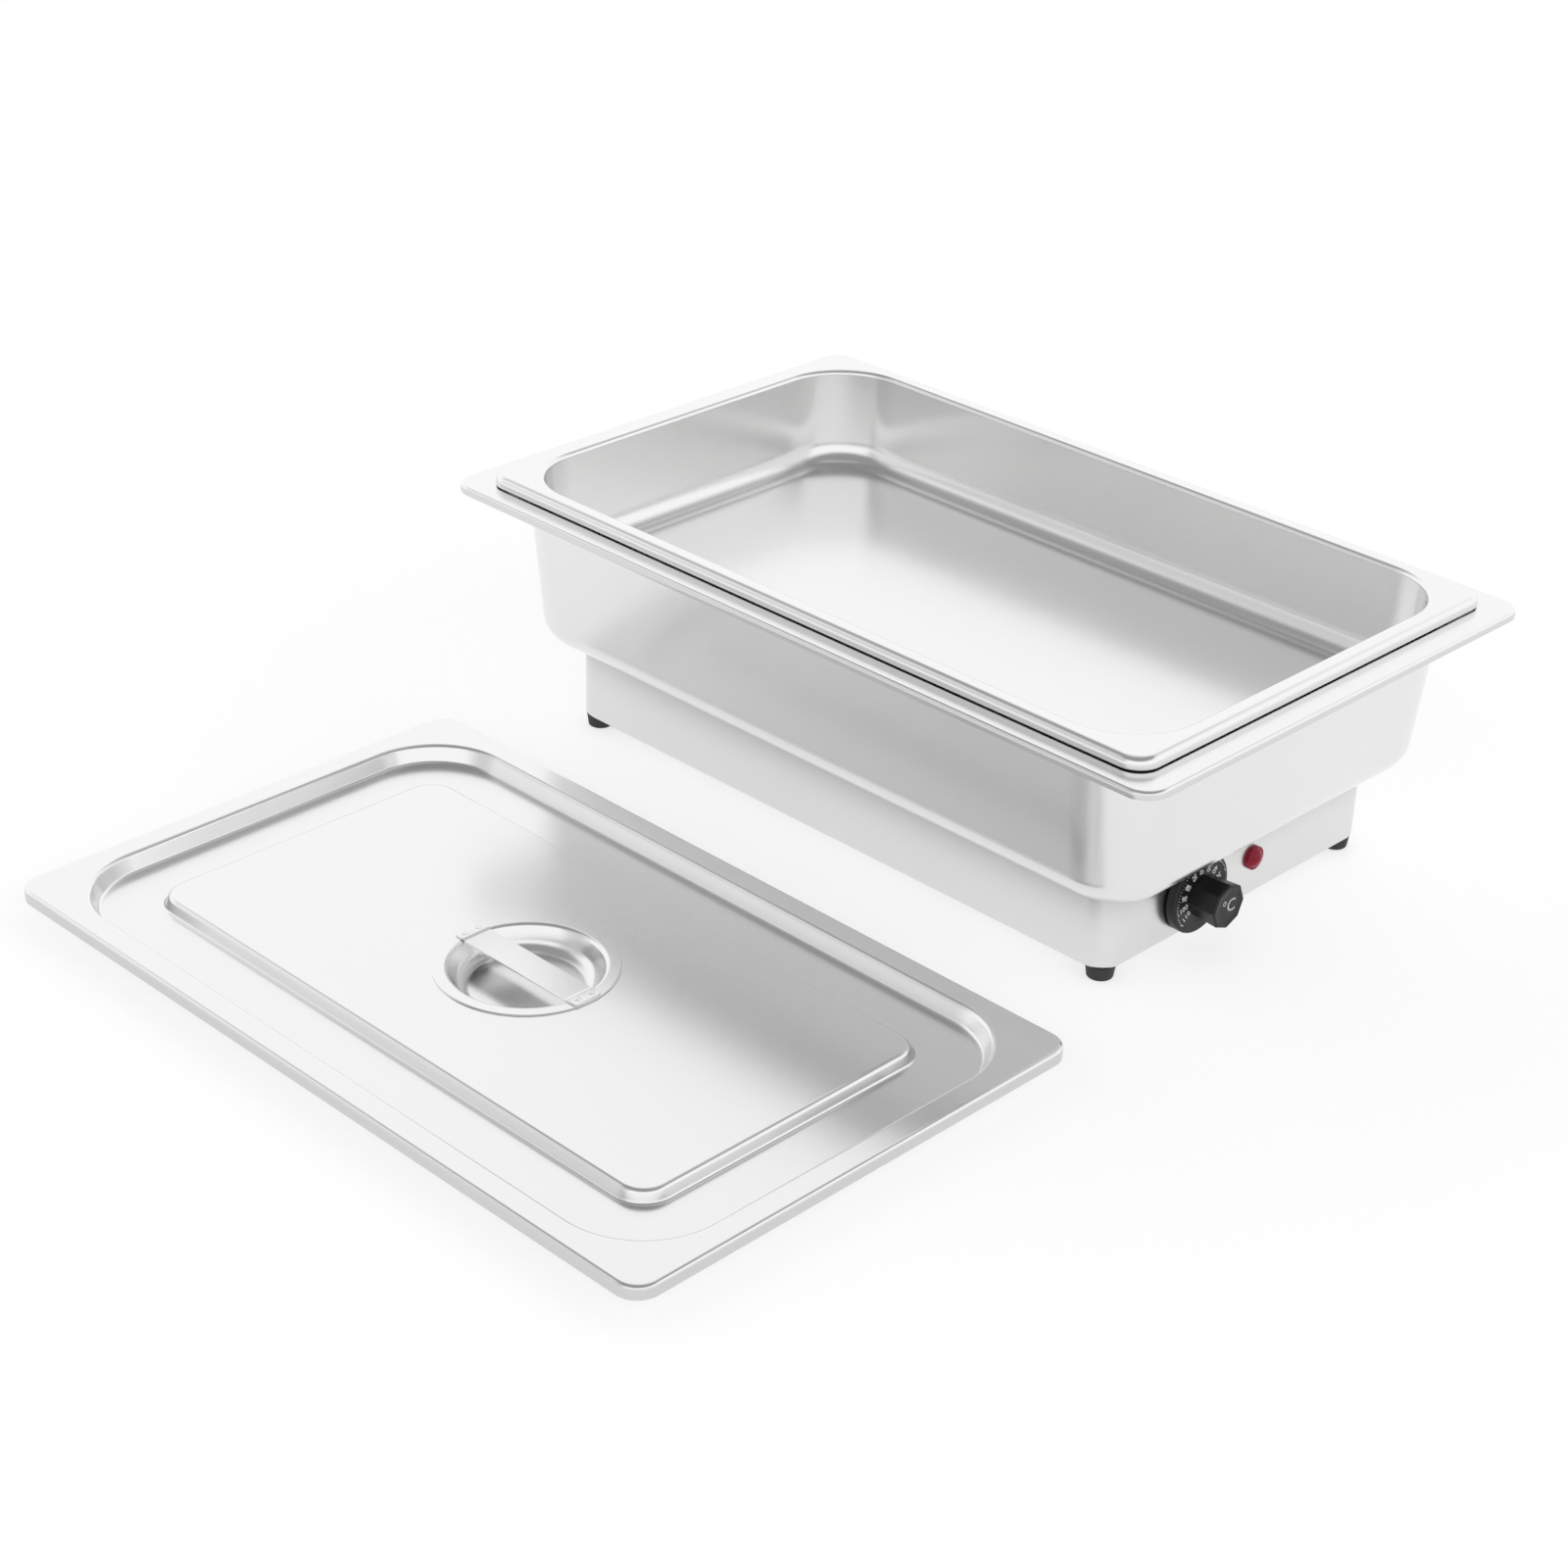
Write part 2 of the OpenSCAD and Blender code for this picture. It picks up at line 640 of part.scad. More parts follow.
module lamp_ring() color(inner_steel) translate([inner_x - lamp_ring_t, lamp_y, lamp_z]) along_x()
    difference() {
        cylinder(d = lens_d + 1, h = lamp_ring_t);
        translate([0, 0, -1]) cylinder(d = lamp_hole_d, h = lamp_ring_t + 2);
    }

module gland_body() color(black) translate([-wall_x, 0, gland_z]) along_x() difference() {
    cap_l = 10;
    hex_l = 5;
    union() {
        cylinder(d = gland_d, h = sheet_t + gland_in);
        translate([0, 0, -hex_l]) cylinder(d = gland_hex_d, h = hex_l, $fn = 6);
        translate([0, 0, -hex_l - cap_l]) cylinder(d1 = gland_d - 3, d2 = gland_d + 1, h = cap_l);
    }
    translate([0, 0, -hex_l - cap_l - 1])
        cylinder(d = cord_bore_d, h = hex_l + cap_l + sheet_t + gland_in + 2);
}

module gland_nut() color(black) translate([-inner_x, 0, gland_z]) along_x() difference() {
    cylinder(d = gland_hex_d, h = gland_nut_t, $fn = 6);
    translate([0, 0, -1]) cylinder(d = gland_d + 2 * hole_gap, h = gland_nut_t + 2);
}

// Heating

// Four runs joined by three half turns
module heating_element() color("darkslategray") translate([0, 0, element_z]) {
    run_to = [element_reach, turn_high_x, turn_high_x, element_reach];
    for (i = [0 : 3])
        translate([turn_low_x, (i - 1.5) * element_pitch, 0]) along_x()
            cylinder(d = element_d, h = run_to[i] - turn_low_x);
    for (y = [-1, 1])
        translate([turn_low_x, y * element_pitch, 0]) rotate(90)
            rotate_extrude(angle = 180) translate([turn_r, 0]) circle(d = element_d);
    translate([turn_high_x, 0, 0]) rotate(-90)
        rotate_extrude(angle = 180) translate([turn_r, 0]) circle(d = element_d);
}

module at_element_ends() {
    for (y = [-1, 1]) translate([element_reach, y * outer_run_y, element_z]) along_x() children();
}

module element_seals() color("ivory") at_element_ends() difference() {
    cylinder(d = element_d, h = seal_l);
    cylinder(d = pin_d + 2 * hole_gap, h = seal_l + 1);
}

module element_pins() color(inner_steel) at_element_ends() cylinder(d = pin_d, h = seal_l + pin_l);

module clamp_bars() color(inner_steel) difference() {
    for (x = bar_x)
        translate([x, 0, bar_z]) linear_extrude(height = bar_t)
            slot(2 * stud_y + bar_w, bar_w);
    at_studs() cylinder(d = stud_d + 2 * hole_gap, h = floor_z);
}

module clamp_studs() color(inner_steel) at_studs() {
    stud_l = floor_z - bar_z + nut_t + 2;
    translate([0, 0, floor_z - stud_l]) cylinder(d = stud_d, h = stud_l);
}

module clamp_nuts() color(inner_steel) translate([0, 0, bar_z - nut_t]) at_studs() nut(stud_d, nut_t);

// Saddle of strip under a round piece, with ears flat on the pan's floor
module saddle(d, drop) {
    half = d / 2 + clip_t;
    difference() {
        union() {
            translate([-half, -drop - clip_t]) square([2 * half, drop + clip_t]);
            translate([-half - ear_l, -clip_t]) square([2 * (half + ear_l), clip_t]);
        }
        translate([-d / 2, -drop]) square([d, drop + 1]);
    }
}

module bulb_clips() color(inner_steel)
    for (x = [-1, 1])
        translate([bulb_x + x * bulb_l / 3, 0, floor_z]) rotate([90, 0, 90])
            linear_extrude(height = clip_w, center = true)
                saddle(bulb_d + 2 * hole_gap, bulb_d + paste_gap + hole_gap);

module sensing_bulb() color("peru") translate([bulb_x - bulb_l / 2, 0, bulb_z]) along_x()
    cylinder(d = bulb_d, h = bulb_l);

module thermal_cutout() color("saddlebrown") translate([cutout_x, cutout_y, cutout_z]) {
    translate([0, 0, cutout_base_h]) cylinder(d = cutout_d, h = cutout_cap_h);
    cylinder(d = cutout_base_d, h = cutout_base_h);
    for (y = [-1, 1])
        translate([-cutout_tab_w / 2, y * cutout_d / 4 - cutout_tab_t / 2, -cutout_tab_h])
            cube([cutout_tab_w, cutout_tab_t, cutout_tab_h]);
}

// Strip bent round the cut-out's cap, open below for its base
module cutout_strap() color(inner_steel) translate([cutout_x, cutout_y, 0]) difference() {
    translate([0, 0, floor_z]) rotate([90, 0, 0])
        linear_extrude(height = 1.25 * cutout_d, center = true)
            saddle(cutout_d + 2 * hole_gap, cutout_cap_h + paste_gap + hole_gap);
    translate([0, 0, cutout_z]) cylinder(d = cutout_base_d + 2 * hole_gap, h = cutout_base_h);
}

// Supply

module terminal_block() color("ivory")
    translate([terminal_x - terminal_size[0] / 2, terminal_y - terminal_size[1] / 2, skirt_z])
        difference() {
            cube(terminal_size);
            at_terminal_screws() translate([0, 0, -terminal_screw_l - wire_gap])
                cylinder(d = terminal_screw_d + 2 * hole_gap, h = terminal_screw_l + 1);
        }

// Screw places, from the corner of the terminal block
module at_terminal_screws() {
    for (x = [1, 3], i = [-1 : 1])
        translate([x * terminal_size[0] / 4, terminal_size[1] / 2 + i * terminal_pitch, terminal_size[2]])
            children();
}

module terminal_screws() color("goldenrod")
    translate([terminal_x - terminal_size[0] / 2, terminal_y - terminal_size[1] / 2, skirt_z])
        at_terminal_screws() translate([0, 0, -terminal_screw_l - wire_gap]) difference() {
            drive_w = 0.8;
            cylinder(d = terminal_screw_d, h = terminal_screw_l);
            translate([-terminal_screw_d, -drive_w / 2, terminal_screw_l - drive_w])
                cube([2 * terminal_screw_d, drive_w, 2 * drive_w]);
        }

module earth_stud() color("goldenrod")
    translate([earth_x, earth_y, skirt_z]) cylinder(d = stud_d, h = earth_l);

module earth_nut() color("goldenrod") translate([earth_x, earth_y, skirt_z]) nut(stud_d, nut_t);

// Smooth curve through the points of a route
function curve_point(a, b, c, d, t) =
    0.5 * (2 * b + t * (c - a) + t * t * (2 * a - 5 * b + 4 * c - d) + t * t * t * (3 * b - 3 * c + d - a));

function curve(route, steps = 4) =
    let (last = len(route) - 1)
    concat([for (i = [0 : last - 1], k = [0 : steps - 1])
                curve_point(route[max(i - 1, 0)], route[i], route[i + 1], route[min(i + 2, last)],
                            k / steps)],
           [route[last]]);

function unit(v) = v / norm(v);

// A direction that no route takes, from which every ring of a tube is turned
skew = [1, 2, 3];

// Tube along a route, whose ends are square to the first and last stretch
module tube(route, d, sides = 8) {
    path = curve(route);
    last = len(path) - 1;
    rings = [for (i = [0 : last])
        let (ahead = unit(path[min(i + 1, last)] - path[max(i - 1, 0)]),
             side = unit(cross(ahead, skew)),
             up = cross(side, ahead))
        [for (k = [0 : sides - 1])
            let (a = 360 * k / sides)
            path[i] + d / 2 * (cos(a) * side + sin(a) * up)]];
    polyhedron(
        points = [for (ring = rings, p = ring) p],
        faces = concat(
            [[for (k = [0 : sides - 1]) k]],
            [for (i = [0 : last - 1], k = [0 : sides - 1])
                let (a = i * sides, b = a + sides, next = (k + 1) % sides)
                [a + k, b + k, b + next, a + next]],
            [[for (k = [sides - 1 : -1 : 0]) last * sides + k]]));
}

// Places where wires begin and end
function terminal_exit(i) =
    [terminal_x + terminal_size[0] / 2 + wire_gap,
     terminal_y + i * terminal_pitch,
     skirt_z + terminal_size[2] / 2];
function thermo_side(y, rise) =
    [inner_x - thermo_size[0] / 2,
     knob_y + y * (thermo_size[1] / 2 + wire_gap),
     knob_z + rise * thermo_size[2]];
function pin_tip(y) = [pin_end_x + wire_gap, y * outer_run_y, element_z];
function cutout_tab(y) = [cutout_x, cutout_y + y * cutout_d / 4, cutout_z - cutout_tab_h - wire_gap];

module capillary() color("peru") tube([
    [thermo_x - wire_gap, knob_y + thermo_size[1] / 5, knob_z],
    [thermo_x - lead, knob_y + thermo_size[1] / 5, knob_z],
    [turn_high_x + turn_r + lead, knob_y / 3, element_z - 1.5 * element_d],
    [turn_high_x + lead, 0, element_z - 1.2 * element_d],
    [bar_x[1] + bar_w / 2 + lead, 0, bulb_z - bulb_d / 2],
    [bar_x[1] + bar_w / 2 + capillary_d, 0, bulb_z],
    [bulb_x + bulb_l / 2 + wire_gap, 0, bulb_z]], capillary_d);

module wire_live() color("saddlebrown") tube([
    thermo_side(-1, -0.3),
    thermo_side(-1, -0.3) - [0, lead, 0],
    [element_reach, -outer_run_y, low_z],
    [0, -outer_run_y, low_z],
    [bar_x[0], -outer_run_y / 2, low_z],
    terminal_exit(0) + [lead, 0, 0],
    terminal_exit(0)], wire_d);

module wire_switched() color("crimson") tube([
    thermo_side(-1, 0.2),
    thermo_side(-1, 0.2) - [0, lead / 2, 0],
    pin_tip(-1) + [1.4 * lead, 0, -lead / 4],
    pin_tip(-1) + [0.7 * lead, 0, 0],
    pin_tip(-1)], wire_d);

module wire_neutral() color("steelblue") tube([
    terminal_exit(1),
    terminal_exit(1) + [lead, 0, 0],
    [cutout_x - 3 * lead, cutout_y, low_z],
    cutout_tab(1) - [lead, 0, lead],
    cutout_tab(1) - [0, 0, lead / 2],
    cutout_tab(1)], wire_d);

module wire_link() color("steelblue") tube([
    cutout_tab(-1),
    cutout_tab(-1) - [0, 0, lead / 2],
    cutout_tab(-1) + [lead, 0, -lead],
    [cutout_x + 6 * lead, outer_run_y / 2, low_z],
    [pin_end_x - 3 * lead, outer_run_y / 2, low_z],
    pin_tip(1) + [1.2 * lead, -lead / 2, -1.2 * lead],
    pin_tip(1) + [0.7 * lead, 0, 0],
    pin_tip(1)], wire_d);

module wire_earth() color("yellowgreen") tube([
    terminal_exit(-1),
    terminal_exit(-1) + [lead, -lead / 3, 0],
    [terminal_x + terminal_size[0] / 2 + lead, 0, low_z],
    [earth_x + stud_d + lead, earth_y, skirt_z + 0.75 * nut_t],
    [earth_x + stud_d + wire_gap, earth_y, skirt_z + 0.75 * nut_t]], wire_d);

module lamp_leads() color("darkgray") {
    rear = [wall_x - lamp_body_l - wire_gap, lamp_y, lamp_z];
    pin = [pin_end_x - pin_l / 2, outer_run_y, element_z - pin_d / 2 - wire_gap];
    tube([rear - [0, lamp_lead_y, 0],
          rear - [lead, lamp_lead_y, 0],
          rear - [lead, lead, 0],
          thermo_side(1, -0.1) + [0, lead / 2, 0],
          thermo_side(1, -0.1)], lamp_lead_d);
    tube([rear + [0, lamp_lead_y, 0],
          rear + [-lead, lamp_lead_y, 0],
          rear + [-lead, 2 * lead, -lead / 3],
          pin - [0, 0.7 * lead, 1.2 * lead],
          pin - [0, 0, lead / 2],
          pin], lamp_lead_d);
}

water_pan();
base_skirt();
bottom_plate();
plate_screws();
foot(1, -1);  // foot_knob_near
foot(1, 1);  // foot_knob_far
foot(-1, -1);  // foot_gland_near
foot(-1, 1);  // foot_gland_far
foot_screws();
foot_nuts();
food_pan();
lid_panel();
lid_cup();
lid_strap();
control_knob();
thermostat_spindle();
thermostat_body();
thermostat_screws();
capillary();
sensing_bulb();
bulb_clips();
heating_element();
element_seals();
element_pins();
clamp_bars();
clamp_studs();
clamp_nuts();
thermal_cutout();
cutout_strap();
lamp_lens();
lamp_body();
lamp_ring();
terminal_block();
terminal_screws();
earth_stud();
earth_nut();
gland_body();
gland_nut();
wire_live();
wire_switched();
wire_neutral();
wire_link();
wire_earth();
lamp_leads();
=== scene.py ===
# %% [markdown]
# # An electric chafing dish and its loose lid
# The dish is pressed and folded from thin satin steel. A water pan stands on a closed base with a dial and
# a lamp, a food pan hangs in it, and the lid lies on the table beside it.
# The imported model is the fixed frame: every piece below is made in metres, straight in its place.

# %% Load the frame
import json
import math

import bmesh
import bpy
from mathutils import Matrix, Vector


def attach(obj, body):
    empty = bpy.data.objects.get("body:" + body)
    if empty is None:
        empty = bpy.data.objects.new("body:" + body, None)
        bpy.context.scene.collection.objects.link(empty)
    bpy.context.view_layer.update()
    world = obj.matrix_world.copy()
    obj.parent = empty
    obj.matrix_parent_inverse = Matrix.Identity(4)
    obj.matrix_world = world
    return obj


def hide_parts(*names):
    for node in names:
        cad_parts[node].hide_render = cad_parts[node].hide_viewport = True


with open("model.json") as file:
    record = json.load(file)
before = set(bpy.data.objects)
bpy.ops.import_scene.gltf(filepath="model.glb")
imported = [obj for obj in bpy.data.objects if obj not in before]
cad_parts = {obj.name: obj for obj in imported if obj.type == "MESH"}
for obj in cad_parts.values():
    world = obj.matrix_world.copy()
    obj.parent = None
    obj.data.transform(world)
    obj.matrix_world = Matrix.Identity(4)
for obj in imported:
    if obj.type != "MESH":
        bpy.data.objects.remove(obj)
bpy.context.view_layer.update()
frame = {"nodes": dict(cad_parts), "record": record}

# %% [markdown]
# ## Sizes
# A real maker draws with one sheet of sizes, and so does this scene. They are in millimetres, as on the
# drawing of the part, and each mesh is scaled to metres once, when it is made. FLANGE, RIM and SKIRT are half
# a length and half a width, KNOB and LAMP are places along Y and Z, and a name that ends in R is a radius.

# %% Sizes in millimetres
MM = 0.001
SHEET = 0.8
LIP_BEND = 2.5
FLOOR_Z, FLANGE_Z, RIM_Z = 61.5, 167.0, 174.8
FLANGE, FLANGE_R = (283, 177), 16
RIM, RIM_R = (265, 162.5), 15
SKIRT, SKIRT_R, SKIRT_Z = (223.5, 124.5), 16, 10.0
LID_Y = -362.0
CUP_TOP = 14.8
KNOB = (-48.0, 36.1)
LAMP = (10.0, 35.4)
DIAL_BACK, DIAL_FRONT = 224.7, 230.7
GLAND_Z = 35.75
print("food pan:", [2 * half for half in RIM], "mm over its rim, which is", RIM_Z, "mm above the table")

# %% [markdown]
# ## Pressed sheet
# A press draws a flat blank into a pan: floor, bottom radius, leaning wall, bend, flange and turned-down
# edge. A subdivided cube would round its corners in all directions alike, and a pressing doesn't. So each
# wall is drawn once, as a section of its upper and lower face, and that section is carried round a rectangle
# with rounded corners. Extra points beside each bend keep the flat stretches flat in the shading.

# %% Sections and loops
EASE = 0.6


def arc(x, z, r, start, end, steps):
    """Points of an arc in a section. Angles are in degrees."""
    angles = [math.radians(start + (end - start) * i / steps) for i in range(steps + 1)]
    return [(x + r * math.cos(a), z + r * math.sin(a)) for a in angles]


def eased(points):
    """A section whose long stretches get a point close to both of their ends."""
    out = [points[0]]
    for (x0, z0), (x1, z1) in zip(points, points[1:]):
        length = math.hypot(x1 - x0, z1 - z0)
        if length > 4 * EASE:
            for t in (EASE / length, 1 - EASE / length):
                out.append((x0 + (x1 - x0) * t, z0 + (z1 - z0) * t))
        out.append((x1, z1))
    return out


def press(depth, draft, bottom_r, bend_r, floor_r):
    """Upper and lower face of a drawn wall, from its floor out to its flange at height 0."""
    lean = math.radians(draft)
    run = ((depth - bottom_r) * math.sin(lean) + bottom_r - SHEET) / math.cos(lean)
    bend_x = floor_r + run + bend_r * (1 - math.sin(lean)) / math.cos(lean)
    faces = []
    for low, high in ((bottom_r - SHEET, bend_r), (bottom_r, bend_r - SHEET)):
        wall = arc(floor_r, bottom_r - depth, low, -90, -draft, 12)
        wall += arc(bend_x, -bend_r, high, 180 - draft, 90, 8)
        faces.append([(floor_r - EASE, wall[0][1])] + eased(wall) + [(bend_x + EASE, wall[-1][1])])
    return faces[0], faces[1], floor_r + run


def lip(r, drop, bend=LIP_BEND):
    """Turned-down edge, from the flange's upper face round to its lower face."""
    x = r - bend
    break_in, break_up = 0.1, 0.25
    outer = arc(x, -bend, bend, 90, 0, 10) + [(r, break_up - drop), (r - break_in, -drop)]
    inner = [(r - SHEET + break_in, -drop), (r - SHEET, break_up - drop)]
    inner += arc(x, -bend, bend - SHEET, 0, 90, 10)
    return [(x - EASE, 0)] + eased(outer + inner) + [(x - EASE, -SHEET)]


def loop(centre, r, z, steps=20, side=1.5):
    """Points round a rectangle with rounded corners, and one more on each side of every corner."""
    points = []
    for turn, (sx, sy) in enumerate(((1, 1), (-1, 1), (-1, -1), (1, -1))):
        angles = [math.radians(90 * (turn + i / steps)) for i in range(steps + 1)]
        corner = [(sx * centre[0] + r * math.cos(a), sy * centre[1] + r * math.sin(a), z) for a in angles]
        for at, way, place in ((0, -side, 0), (-1, side, steps + 2)):
            (x, y, _), a = corner[at], angles[at]
            corner.insert(place, (x - way * math.sin(a), y + way * math.cos(a), z))
        points += corner
    return points


food_wall = press(depth=65, draft=4, bottom_r=16, bend_r=3, floor_r=28)
print("food pan: wall of", len(food_wall[0]), "points, opening corner", round(food_wall[2], 2), "mm")

# %% Loops to meshes
SEGMENTS = 96


def shaped(name, mesh, sharp=40):
    """Object of a mesh, with its doubles merged, its faces outwards and its soft edges smooth."""
    shape = bmesh.new()
    shape.from_mesh(mesh)
    bmesh.ops.remove_doubles(shape, verts=shape.verts, dist=1e-6)
    bmesh.ops.recalc_face_normals(shape, faces=shape.faces)
    shape.to_mesh(mesh)
    shape.free()
    mesh.shade_smooth()
    mesh.set_sharp_from_angle(angle=math.radians(sharp))
    piece = bpy.data.objects.new(name, mesh)
    bpy.context.scene.collection.objects.link(piece)
    return piece


def skin(name, loops, ring=False, place=Matrix.Identity(4), sharp=40):
    """Piece whose loops of equal length are joined by quads. It is capped, or closed into a ring."""
    count = len(loops[0])
    faces = []
    for i in range(len(loops) - (0 if ring else 1)):
        a, b = i * count, (i + 1) % len(loops) * count
        faces += [(a + k, a + (k + 1) % count, b + (k + 1) % count, b + k) for k in range(count)]
    if not ring:
        faces += [range(count), range(len(loops) * count - count, len(loops) * count)]
    mesh = bpy.data.meshes.new(name)
    mesh.from_pydata([place @ (Vector(p) * MM) for points in loops for p in points], [], faces)
    return shaped(name, mesh, sharp)


def lathe(name, profile, place=Matrix.Identity(4), ring=False, segments=SEGMENTS, sharp=40):
    """Piece turned from a profile of radius and height."""
    turns = [2 * math.pi * i / segments for i in range(segments)]
    loops = [[(r * math.cos(a), r * math.sin(a), z) for a in turns] for r, z in profile]
    return skin(name, loops, ring, place, sharp)


def moved(x, y, z):
    """Place of a piece that stands along +Z."""
    return Matrix.Translation(Vector((x, y, z)) * MM)


def facing_x(x, y, z):
    """Place of a piece whose own +Z points along +X, with its own +Y up."""
    return moved(x, y, z) @ Matrix(((0, 0, 1, 0), (1, 0, 0, 0), (0, 1, 0, 0), (0, 0, 0, 1)))


# %% [markdown]
# ## The two pans
# Both pans are one pressing each. The water pan is deep, with a generous radius to its floor, and its flange
# runs well past the food pan. The food pan has the standard catering rim, whose taller edge comes down to
# that flange and leaves a dark line above it.

# %% Water pan and food pan


def pan(name, half, rim_half, rim_r, edge, top, pressed):
    """Pan with one floor. Half sizes are of the opening and the rim, whose edge has a drop and a bend."""
    upper, lower, reach = pressed
    centre = [h - reach for h in half]
    rim_centre = [h - rim_r for h in rim_half]
    loops = [loop(centre, r, top + z) for r, z in upper]
    loops += [loop(rim_centre, r, top + z) for r, z in lip(rim_r, *edge)]
    loops += [loop(centre, r, top + z) for r, z in reversed(lower)]
    return skin(name, loops)


water_wall = press(depth=FLANGE_Z - FLOOR_Z, draft=5.5, bottom_r=20, bend_r=3, floor_r=19.4)
water_pan = pan("water_pan_shell", half=(259, 156.5), rim_half=FLANGE, rim_r=FLANGE_R,
                edge=(5, LIP_BEND), top=FLANGE_Z, pressed=water_wall)
food_pan = pan("food_pan_shell", half=(252.5, 150), rim_half=RIM, rim_r=RIM_R,
               edge=(6.9, 4.5), top=RIM_Z, pressed=food_wall)
for piece in (water_pan, food_pan):
    print(piece.name, len(piece.data.polygons), "faces")

# %% [markdown]
# ## The lid
# The lid is stepped: a flange, a channel that drops into the food pan, and a raised panel with a round hole
# for the handle cup. Its top is one run of loops from the panel out to the edge, and its underside the run
# back. The flat panel between the last loop and the hole is filled with triangles, which stay invisible on
# a flat.

# %% Lid panel
CHANNEL, PANEL_FOOT = (248.7, 146.2), (208.72, 106.22)
CHANNEL_Z, LID_Z, LID_DROP = 6.2, 17.0, 8
CUP_HOLE_R = 47.41


def lid_shell(name):
    """Stepped lid with a round hole."""
    step_up, step_under, step_reach = press(depth=7.8, draft=25, bottom_r=3, bend_r=3, floor_r=14)
    sink_up, sink_under, sink_reach = press(depth=10.8, draft=25, bottom_r=3, bend_r=3, floor_r=46)
    sink_centre = [half - sink_reach for half in CHANNEL]
    step_centre = [half - step_reach for half in PANEL_FOOT]
    edge_centre = [half - RIM_R for half in RIM]
    loops = [loop(step_centre, r, CHANNEL_Z - z) for r, z in step_under]
    loops += [loop(sink_centre, r, LID_Z + z) for r, z in sink_up]
    loops += [loop(edge_centre, r, LID_Z + z) for r, z in lip(RIM_R, LID_DROP)]
    loops += [loop(sink_centre, r, LID_Z + z) for r, z in reversed(sink_under)]
    loops += [loop(step_centre, r, CHANNEL_Z - z) for r, z in reversed(step_up)]
    piece = skin(name, loops, place=moved(0, LID_Y, 0))
    shape = bmesh.new()
    shape.from_mesh(piece.data)
    caps = [f for f in shape.faces if len(f.verts) > 4]
    outlines = [list(f.edges) for f in caps]
    bmesh.ops.delete(shape, geom=caps, context="FACES_ONLY")
    rims = []
    for edges in outlines:
        place = moved(0, LID_Y, edges[0].verts[0].co.z / MM)
        rim = bmesh.ops.create_circle(shape, segments=SEGMENTS, radius=CUP_HOLE_R * MM, matrix=place)["verts"]
        hoop = list({e for v in rim for e in v.link_edges})
        bmesh.ops.triangle_fill(shape, edges=edges + hoop, use_beauty=True)
        rims += hoop
    bmesh.ops.bridge_loops(shape, edges=rims)
    shape.to_mesh(piece.data)
    shape.free()
    mesh = piece.data
    bpy.data.objects.remove(piece)
    return shaped(name, mesh)


lid_panel = lid_shell("lid_shell")
print(lid_panel.name, len(lid_panel.data.polygons), "faces")

# %% [markdown]
# ## Painted shade on the edges
# The outer face of a turned-down edge is painted with shade: its colour is darkened. It is part of the same
# mesh, so a mark on its points says how much shade is painted there, and the finish of the steel reads that
# mark.

# %% Painted shade on outer faces
FACE_DEPTH = 0.4


def mark_edge_shade(piece, rim_half, rim_r, amount, middle=0.0):
    """Marks the points on the outer face of an edge, where shade is painted. The middle is the piece's own
    place along Y.
    """
    mark = piece.data.attributes.new("edge_shade", "FLOAT", "POINT")
    for point, row in zip(piece.data.vertices, mark.data):
        x = max(abs(point.co.x / MM) - rim_half[0] + rim_r, 0)
        y = max(abs(point.co.y / MM - middle) - rim_half[1] + rim_r, 0)
        row.value = amount if math.hypot(x, y) > rim_r - FACE_DEPTH else 0.0
    return sum(row.value > 0 for row in mark.data)


# The outer faces of the flange's and the lid's edges get painted shade.
print(mark_edge_shade(water_pan, FLANGE, FLANGE_R, amount=0.6), "dull points on the flange")
print(mark_edge_shade(lid_panel, RIM, RIM_R, amount=0.8, middle=LID_Y), "dull points on the lid")

# %% [markdown]
# ## Handle cup and strap
# The cup is a small round pressing, so it is turned like a bowl. The strap is a flat strip across it: its two
# ends lie on the ring, where they are spot welded, and its middle is stepped down a little.

# %% Cup and strap
cup_in, cup_out, _ = press(depth=CUP_TOP, draft=25, bottom_r=10, bend_r=3, floor_r=32.61)
ring_edge = [(53.2, 0), (53.5, -0.25), (53.5, -0.55), (53.2, -SHEET)]
cup_profile = [(0, SHEET - CUP_TOP)] + cup_in + eased([cup_in[-1], *ring_edge, cup_out[-1]])[1:-1]
cup_profile += cup_out[::-1] + [(0, -CUP_TOP)]
lid_cup = lathe("lid_cup_bowl", cup_profile, moved(0, LID_Y, CUP_TOP))


def strap(name, length, width, thick, drop, tab):
    """Strip with rounded ends, whose middle lies lower than its welded ends."""
    end, edge, r, bevel, soft = length / 2, width / 2, 3.0, 0.25, 0.4
    top, foot = end - tab, end - tab - 2 * drop
    turns = [math.radians(90 - 15 * i) for i in range(7)]
    half = [(end - r + r * math.sin(a), edge - r + r * math.cos(a), 0) for a in turns]
    half += [(top + soft, edge, 0), (top - soft, edge, -drop * 0.2)]
    half += [(foot + soft, edge, -drop * 0.8), (foot - soft, edge, -drop), (0.5, edge, -drop)]
    half += [(-x, w, z) for x, w, z in reversed(half)]
    loops = []
    for x, w, z in half:
        loops.append([(x, -w + bevel, z), (x, w - bevel, z), (x, w, z + bevel), (x, w, z + thick - bevel),
                      (x, w - bevel, z + thick), (x, -w + bevel, z + thick),
                      (x, -w, z + thick - bevel), (x, -w, z + bevel)])
    return skin(name, loops, place=moved(0, LID_Y, CUP_TOP))


STRAP_THICK = 1.2
lid_strap = strap("lid_strap_strip", length=104, width=20, thick=STRAP_THICK, drop=0.8, tab=8)
print(lid_cup.name, lid_strap.name, "made")

# %% [markdown]
# ## Base
# The skirt is one folded strip: a wall, a small bend and a flange turned in below. Its upper edge is rounded
# over and stands against the pan's floor, well inside the swell of the pan, which overhangs it all round.

# %% Skirt
SKIRT_BEND, BESIDE = 1.5, 2.2
OPENING, OPENING_R = (195.5, 96.5), 4


